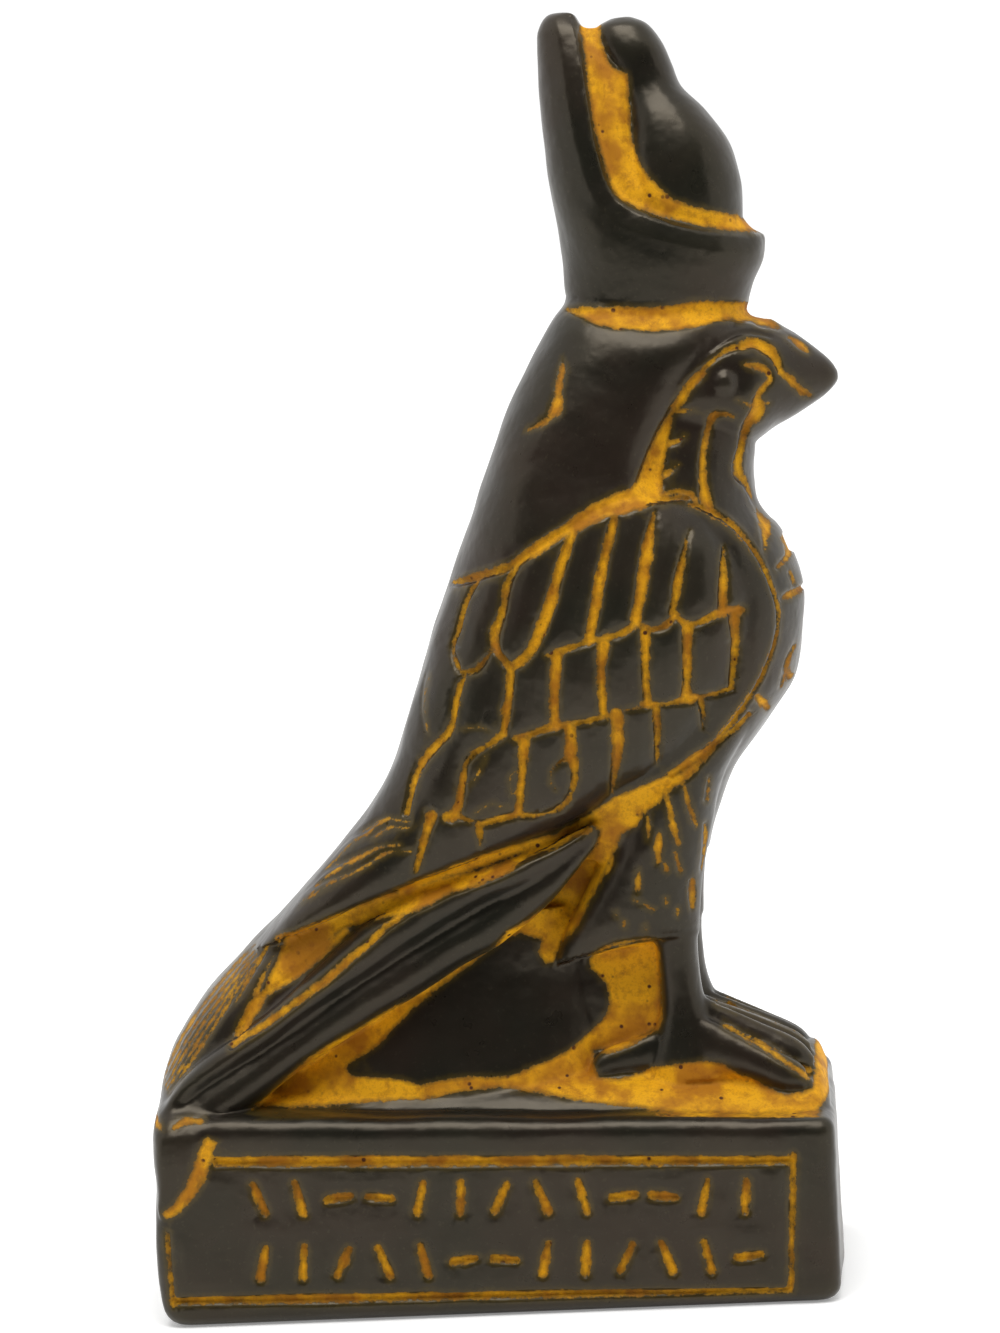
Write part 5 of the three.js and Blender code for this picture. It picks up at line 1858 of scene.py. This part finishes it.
@dataclass(frozen=True)
class PaintedCasting:
    """The casting's finish: waxed black cast stone with ochre in its recesses."""

    stone: CastStone = CastStone()
    ochre: OchrePaint = OchrePaint()
    bump: float = 0.00022

    def material(self) -> bpy.types.Material:
        """Build the finish."""
        made = bpy.data.materials.new("waxed_black_cast_stone_with_ochre")
        made.use_nodes = True
        tree = made.node_tree
        tree.nodes.clear()
        add = partial(add_node, tree)
        place = add("ShaderNodeTexCoord").outputs["Object"]
        grain = add(NOISE, {"Vector": place, "Scale": per_metre(self.ochre.grain), "Detail": 2.0})
        inside = self._uneven_reach(add, place, grain)
        painted = add(
            RANGE,
            {"Value": inside, "From Min": -0.05, "From Max": 0.1},
            interpolation_type="SMOOTHSTEP",
        )
        pits = self._pits(add, place)
        colour = add(
            MIX,
            {
                "Factor": painted,
                "A": self._stone_colour(add, place, inside),
                "B": self._ochre_colour(add, place, grain, inside, pits),
            },
            data_type="RGBA",
        )
        spread = self.stone.roughness_spread
        smoothest = self.stone.roughness - spread / 2.0
        gloss = add(NOISE, {"Vector": place, "Scale": per_metre(self.stone.gloss_patch), "Detail": 3.0})
        satin = add(MATH, {0: gloss, 1: spread, 2: smoothest}, operation="MULTIPLY_ADD")
        roughness = add(RANGE, {"Value": painted, "To Min": satin, "To Max": self.ochre.roughness})
        shader = add(
            "ShaderNodeBsdfPrincipled",
            {
                "Base Color": colour,
                "Roughness": roughness,
                "Normal": self._bump(add, place, grain, painted, pits),
                "IOR": self.stone.ior,
                "Specular Tint": self.stone.sheen,
                "Metallic": 0.0,
            },
        )
        add("ShaderNodeOutputMaterial", {"Surface": shader})
        return made

    def _uneven_reach(self, add: Callable, place: Socket, grain: Node) -> Node:
        """Give the ochre's edge its ragged line.

        Args:
            add: adds a node to the finish.
            place: where on the figure the point is.
            grain: the ochre's grain.

        Returns:
            How far inside the ochre the point lies, in millimetres.
        """
        reach = add("ShaderNodeAttribute", attribute_name="ochre_reach").outputs["Fac"]
        ragged = add(NOISE, {"Vector": place, "Scale": per_metre(self.ochre.ragged), "Detail": 3.0})
        wander, fray = self.ochre.wander, self.ochre.fray
        edge = add(MATH, {0: ragged, 1: wander, 2: -wander / 2.0}, operation="MULTIPLY_ADD")
        fine = add(MATH, {0: grain, 1: fray, 2: -fray / 2.0}, operation="MULTIPLY_ADD")
        edge = add(MATH, {0: edge, 1: fine}, operation="ADD")
        return add(MATH, {0: reach, 1: edge}, operation="ADD")

    def _ochre_colour(
        self, add: Callable, place: Socket, grain: Node, inside: Node, pits: Node
    ) -> Node:
        """Colour the ochre, patchy and grainy, dark at its rim and in its pits.

        Args:
            add: adds a node to the finish.
            place: where on the figure the point is.
            grain: the ochre's grain.
            inside: how far inside the ochre the point lies.
            pits: 1 in a pit.

        Returns:
            The colour.
        """
        patches = add(NOISE, {"Vector": place, "Scale": per_metre(self.ochre.patch), "Detail": 3.0})
        patchy = add(
            RANGE,
            {"Value": patches, "From Min": 0.38, "From Max": 0.58},
            interpolation_type="SMOOTHSTEP",
        )
        colour = add(
            MIX,
            {"Factor": patchy, "A": self.ochre.deep, "B": self.ochre.bright},
            data_type="RGBA",
        )
        clumps = add(
            NOISE,
            {"Vector": place, "Scale": per_metre(self.ochre.clump), "Detail": 4.0, "Roughness": 0.7},
        )
        speckle = add(RANGE, {"Value": clumps, "From Min": 0.5, "From Max": 0.72, "To Max": 0.7})
        colour = add(MIX, {"Factor": speckle, "A": colour, "B": self.ochre.clod}, data_type="RGBA")
        speckle = add(RANGE, {"Value": grain, "From Min": 0.5, "From Max": 0.75, "To Max": 0.45})
        colour = add(MIX, {"Factor": speckle, "A": colour, "B": self.ochre.deep}, data_type="RGBA")
        thin = add(
            RANGE,
            {"Value": inside, "From Min": 0.05, "From Max": 0.5, "To Min": 0.8, "To Max": 0.0},
        )
        colour = add(MIX, {"Factor": thin, "A": colour, "B": self.ochre.rim}, data_type="RGBA")
        return add(MIX, {"Factor": pits, "A": colour, "B": self.ochre.pit}, data_type="RGBA")

    def _stone_colour(self, add: Callable, place: Socket, inside: Node) -> Node:
        """Colour the stone, clouded, paler on edges by wear and painted highlight, smeared with ochre by
        the paint.

        Args:
            add: adds a node to the finish.
            place: where on the figure the point is.
            inside: how far inside the ochre the point lies.

        Returns:
            The colour.
        """
        hollow = add("ShaderNodeAttribute", attribute_name="hollow").outputs["Fac"]
        clouds = add(NOISE, {"Vector": place, "Scale": per_metre(self.stone.cloud), "Detail": 4.0})
        cloudy = add(
            RANGE,
            {"Value": clouds, "From Min": 0.35, "From Max": 0.7},
            interpolation_type="SMOOTHSTEP",
        )
        colour = add(
            MIX,
            {"Factor": cloudy, "A": self.stone.black, "B": self.stone.brown},
            data_type="RGBA",
        )
        # convex edges turn paler: partly wear, partly a painted highlight along ridges and edges
        wear_and_highlight = add(RANGE, {"Value": hollow, "From Min": -0.25, "From Max": -1.6, "To Max": 0.5})
        colour = add(MIX, {"Factor": wear_and_highlight, "A": colour, "B": self.stone.wear_and_highlight}, data_type="RGBA")
        dust = add(NOISE, {"Vector": place, "Scale": per_metre(self.stone.speck), "Detail": 1.0})
        specks = add(RANGE, {"Value": dust, "From Min": 0.64, "From Max": 0.78, "To Max": 0.35})
        colour = add(MIX, {"Factor": specks, "A": colour, "B": self.stone.wear_and_highlight}, data_type="RGBA")
        smeared = add(
            RANGE,
            {"Value": inside, "From Min": -0.8, "From Max": 0.1, "To Max": 0.6},
            interpolation_type="SMOOTHSTEP",
        )
        return add(MIX, {"Factor": smeared, "A": colour, "B": self.ochre.smear}, data_type="RGBA")

    def _pits(self, add: Callable, place: Socket) -> Node:
        """Put round pits in some of the places of a loose grid.

        Args:
            add: adds a node to the finish.
            place: where on the figure the point is.

        Returns:
            1 in a pit, 0 beside it.
        """
        cells = add(
            "ShaderNodeTexVoronoi",
            {"Vector": place, "Scale": per_metre(self.ochre.pit_spacing)},
        )
        round_pits = add(
            RANGE,
            {"Value": cells, "From Min": 0.24, "From Max": 0.12},
            interpolation_type="SMOOTHSTEP",
        )
        patches = add(NOISE, {"Vector": place, "Scale": per_metre(self.ochre.pit_patch), "Detail": 1.0})
        some = add(RANGE, {"Value": patches, "From Min": 0.52, "From Max": 0.62})
        return add(MATH, {0: round_pits, 1: some}, operation="MULTIPLY")

    def _bump(self, add: Callable, place: Socket, grain: Node, painted: Node, pits: Node) -> Node:
        """Raise the ochre's grain, sink its pits and ruffle the stone.

        Args:
            add: adds a node to the finish.
            place: where on the figure the point is.
            grain: the ochre's grain.
            painted: 1 in the ochre.
            pits: 1 in a pit.

        Returns:
            The bent normal.
        """
        grainy = add(MATH, {0: grain, 1: pits}, operation="SUBTRACT")
        powder = add(MATH, {0: grainy, 1: painted}, operation="MULTIPLY")
        uneven = add(NOISE, {"Vector": place, "Scale": per_metre(self.stone.unevenness), "Detail": 1.5})
        height = add(MATH, {0: powder, 1: 0.3, 2: uneven}, operation="MULTIPLY_ADD")
        return add("ShaderNodeBump", {"Height": height, "Distance": self.bump, "Strength": 0.5})


@dataclass
class Studio:
    """The plain stage: pale floor, soft light, a white surround, and the camera of the photograph."""

    target: Spot = (2.77, 0.0, 78.32)
    azimuth: float = 4.5
    elevation: float = 6.87
    roll: float = 3.51
    distance: float = 520.0
    lens: float = 111.7
    sensor: float = 36.0
    light_at: Spot = (0.0, -310.0, 680.0)
    light_size: float = 480.0
    light_power: float = 4.0
    floor_reach: float = 6.0  # in metres
    floor_glow: float = 0.25
    surround: float = 1.05
    card_width: float = 1300.0
    card_height: float = 560.0
    card_from_figure: float = 420.0

    def build(self) -> None:
        """Set up floor, card, surround, light and camera."""
        reach = self.floor_reach
        self._sheet(
            "floor",
            [(-reach, -reach, 0), (reach, -reach, 0), (reach, reach, 0), (-reach, reach, 0)],
            "#f2f2f1",
            self.floor_glow,
        )
        self._card()
        self._surround()
        self._light("overhead", self.light_at, self.light_size, self.light_power)
        self._camera()
        bpy.context.scene.view_settings.view_transform = "Standard"

    def _card(self) -> None:
        """Stand a black card before the figure, unseen by the camera: it darkens the gloss."""
        side, top = self.card_width / 2.0 * MILLIMETRE, self.card_height * MILLIMETRE
        y = -self.card_from_figure * MILLIMETRE
        card = self._sheet(
            "black_card",
            [(-side, y, 0), (side, y, 0), (side, y, top), (-side, y, top)],
            "#0c0c0c",
            0.0,
        )
        card.visible_camera = False

    def _sheet(self, name: str, corners: list[Spot], colour: str, glow: float) -> bpy.types.Object:
        """Add a matt sheet to the stage.

        Args:
            name: its name.
            corners: its four corners, in metres.
            colour: its colour, as six hex digits after a hash.
            glow: how strongly it shines by itself, as one lit from behind does.

        Returns:
            The sheet.
        """
        mesh = bpy.data.meshes.new(name)
        mesh.from_pydata(corners, [], [(0, 1, 2, 3)])
        sheet = bpy.data.objects.new(name, mesh)
        bpy.context.scene.collection.objects.link(sheet)
        made = bpy.data.materials.new(f"matt_{name}")
        made.use_nodes = True
        tree = made.node_tree
        tree.nodes.clear()
        shader = add_node(
            tree,
            "ShaderNodeBsdfPrincipled",
            {
                "Base Color": colour,
                "Roughness": 0.9,
                "Emission Color": "#ffffff",
                "Emission Strength": glow,
            },
        )
        add_node(tree, "ShaderNodeOutputMaterial", {"Surface": shader})
        mesh.materials.append(made)
        return sheet

    def _surround(self) -> None:
        """Light the scene from an even white surround."""
        world = bpy.data.worlds.new("surround")
        bpy.context.scene.world = world
        world.use_nodes = True
        tree = world.node_tree
        tree.nodes.clear()
        light = add_node(tree, "ShaderNodeBackground", {"Color": "#ffffff", "Strength": self.surround})
        add_node(tree, "ShaderNodeOutputWorld", {"Surface": light})

    def _light(self, name: str, at: Spot, size: float, power: float) -> None:
        """Add a square soft light that faces the figure.

        Args:
            name: its name.
            at: its middle, in millimetres.
            size: its side, in millimetres.
            power: its power, in watts.
        """
        data = bpy.data.lights.new(name, "AREA")
        data.size = size * MILLIMETRE
        data.energy = power
        light = bpy.data.objects.new(name, data)
        bpy.context.scene.collection.objects.link(light)
        light.location = Vector(at) * MILLIMETRE
        light.rotation_mode = "QUATERNION"
        light.rotation_quaternion = (Vector(self.target) - Vector(at)).to_track_quat("-Z", "Y")

    def _camera(self) -> None:
        """Set the camera where the photograph was taken from."""
        data = bpy.data.cameras.new("camera")
        data.lens = self.lens
        data.sensor_width = self.sensor
        data.clip_start = 0.01
        camera = bpy.data.objects.new("camera", data)
        bpy.context.scene.collection.objects.link(camera)
        around, up = math.radians(self.azimuth), math.radians(self.elevation)
        back = Vector((math.sin(around) * math.cos(up), -math.cos(around) * math.cos(up), math.sin(up)))
        camera.location = (Vector(self.target) + back * self.distance) * MILLIMETRE
        camera.rotation_mode = "QUATERNION"
        turn = Quaternion((0.0, 0.0, 1.0), -math.radians(self.roll))
        camera.rotation_quaternion = (-back).to_track_quat("-Z", "Y") @ turn
        bpy.context.scene.camera = camera


def main() -> None:
    """Build the casting and the stage around it."""
    logging.basicConfig(level=logging.INFO, format="%(name)s: %(message)s")
    plinth, crown = Plinth(), Crown()
    casting = Casting(plinth, crown, [plinth, Feet(), Tail(), Wings(), Breast(), Head(), crown]).build()
    casting.data.materials.append(PaintedCasting().material())
    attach(casting, "root")
    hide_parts(NODE)
    LOG.info("%s: %d faces", casting.name, len(casting.data.polygons))
    Studio().build()


if __name__ == "__main__":
    main()
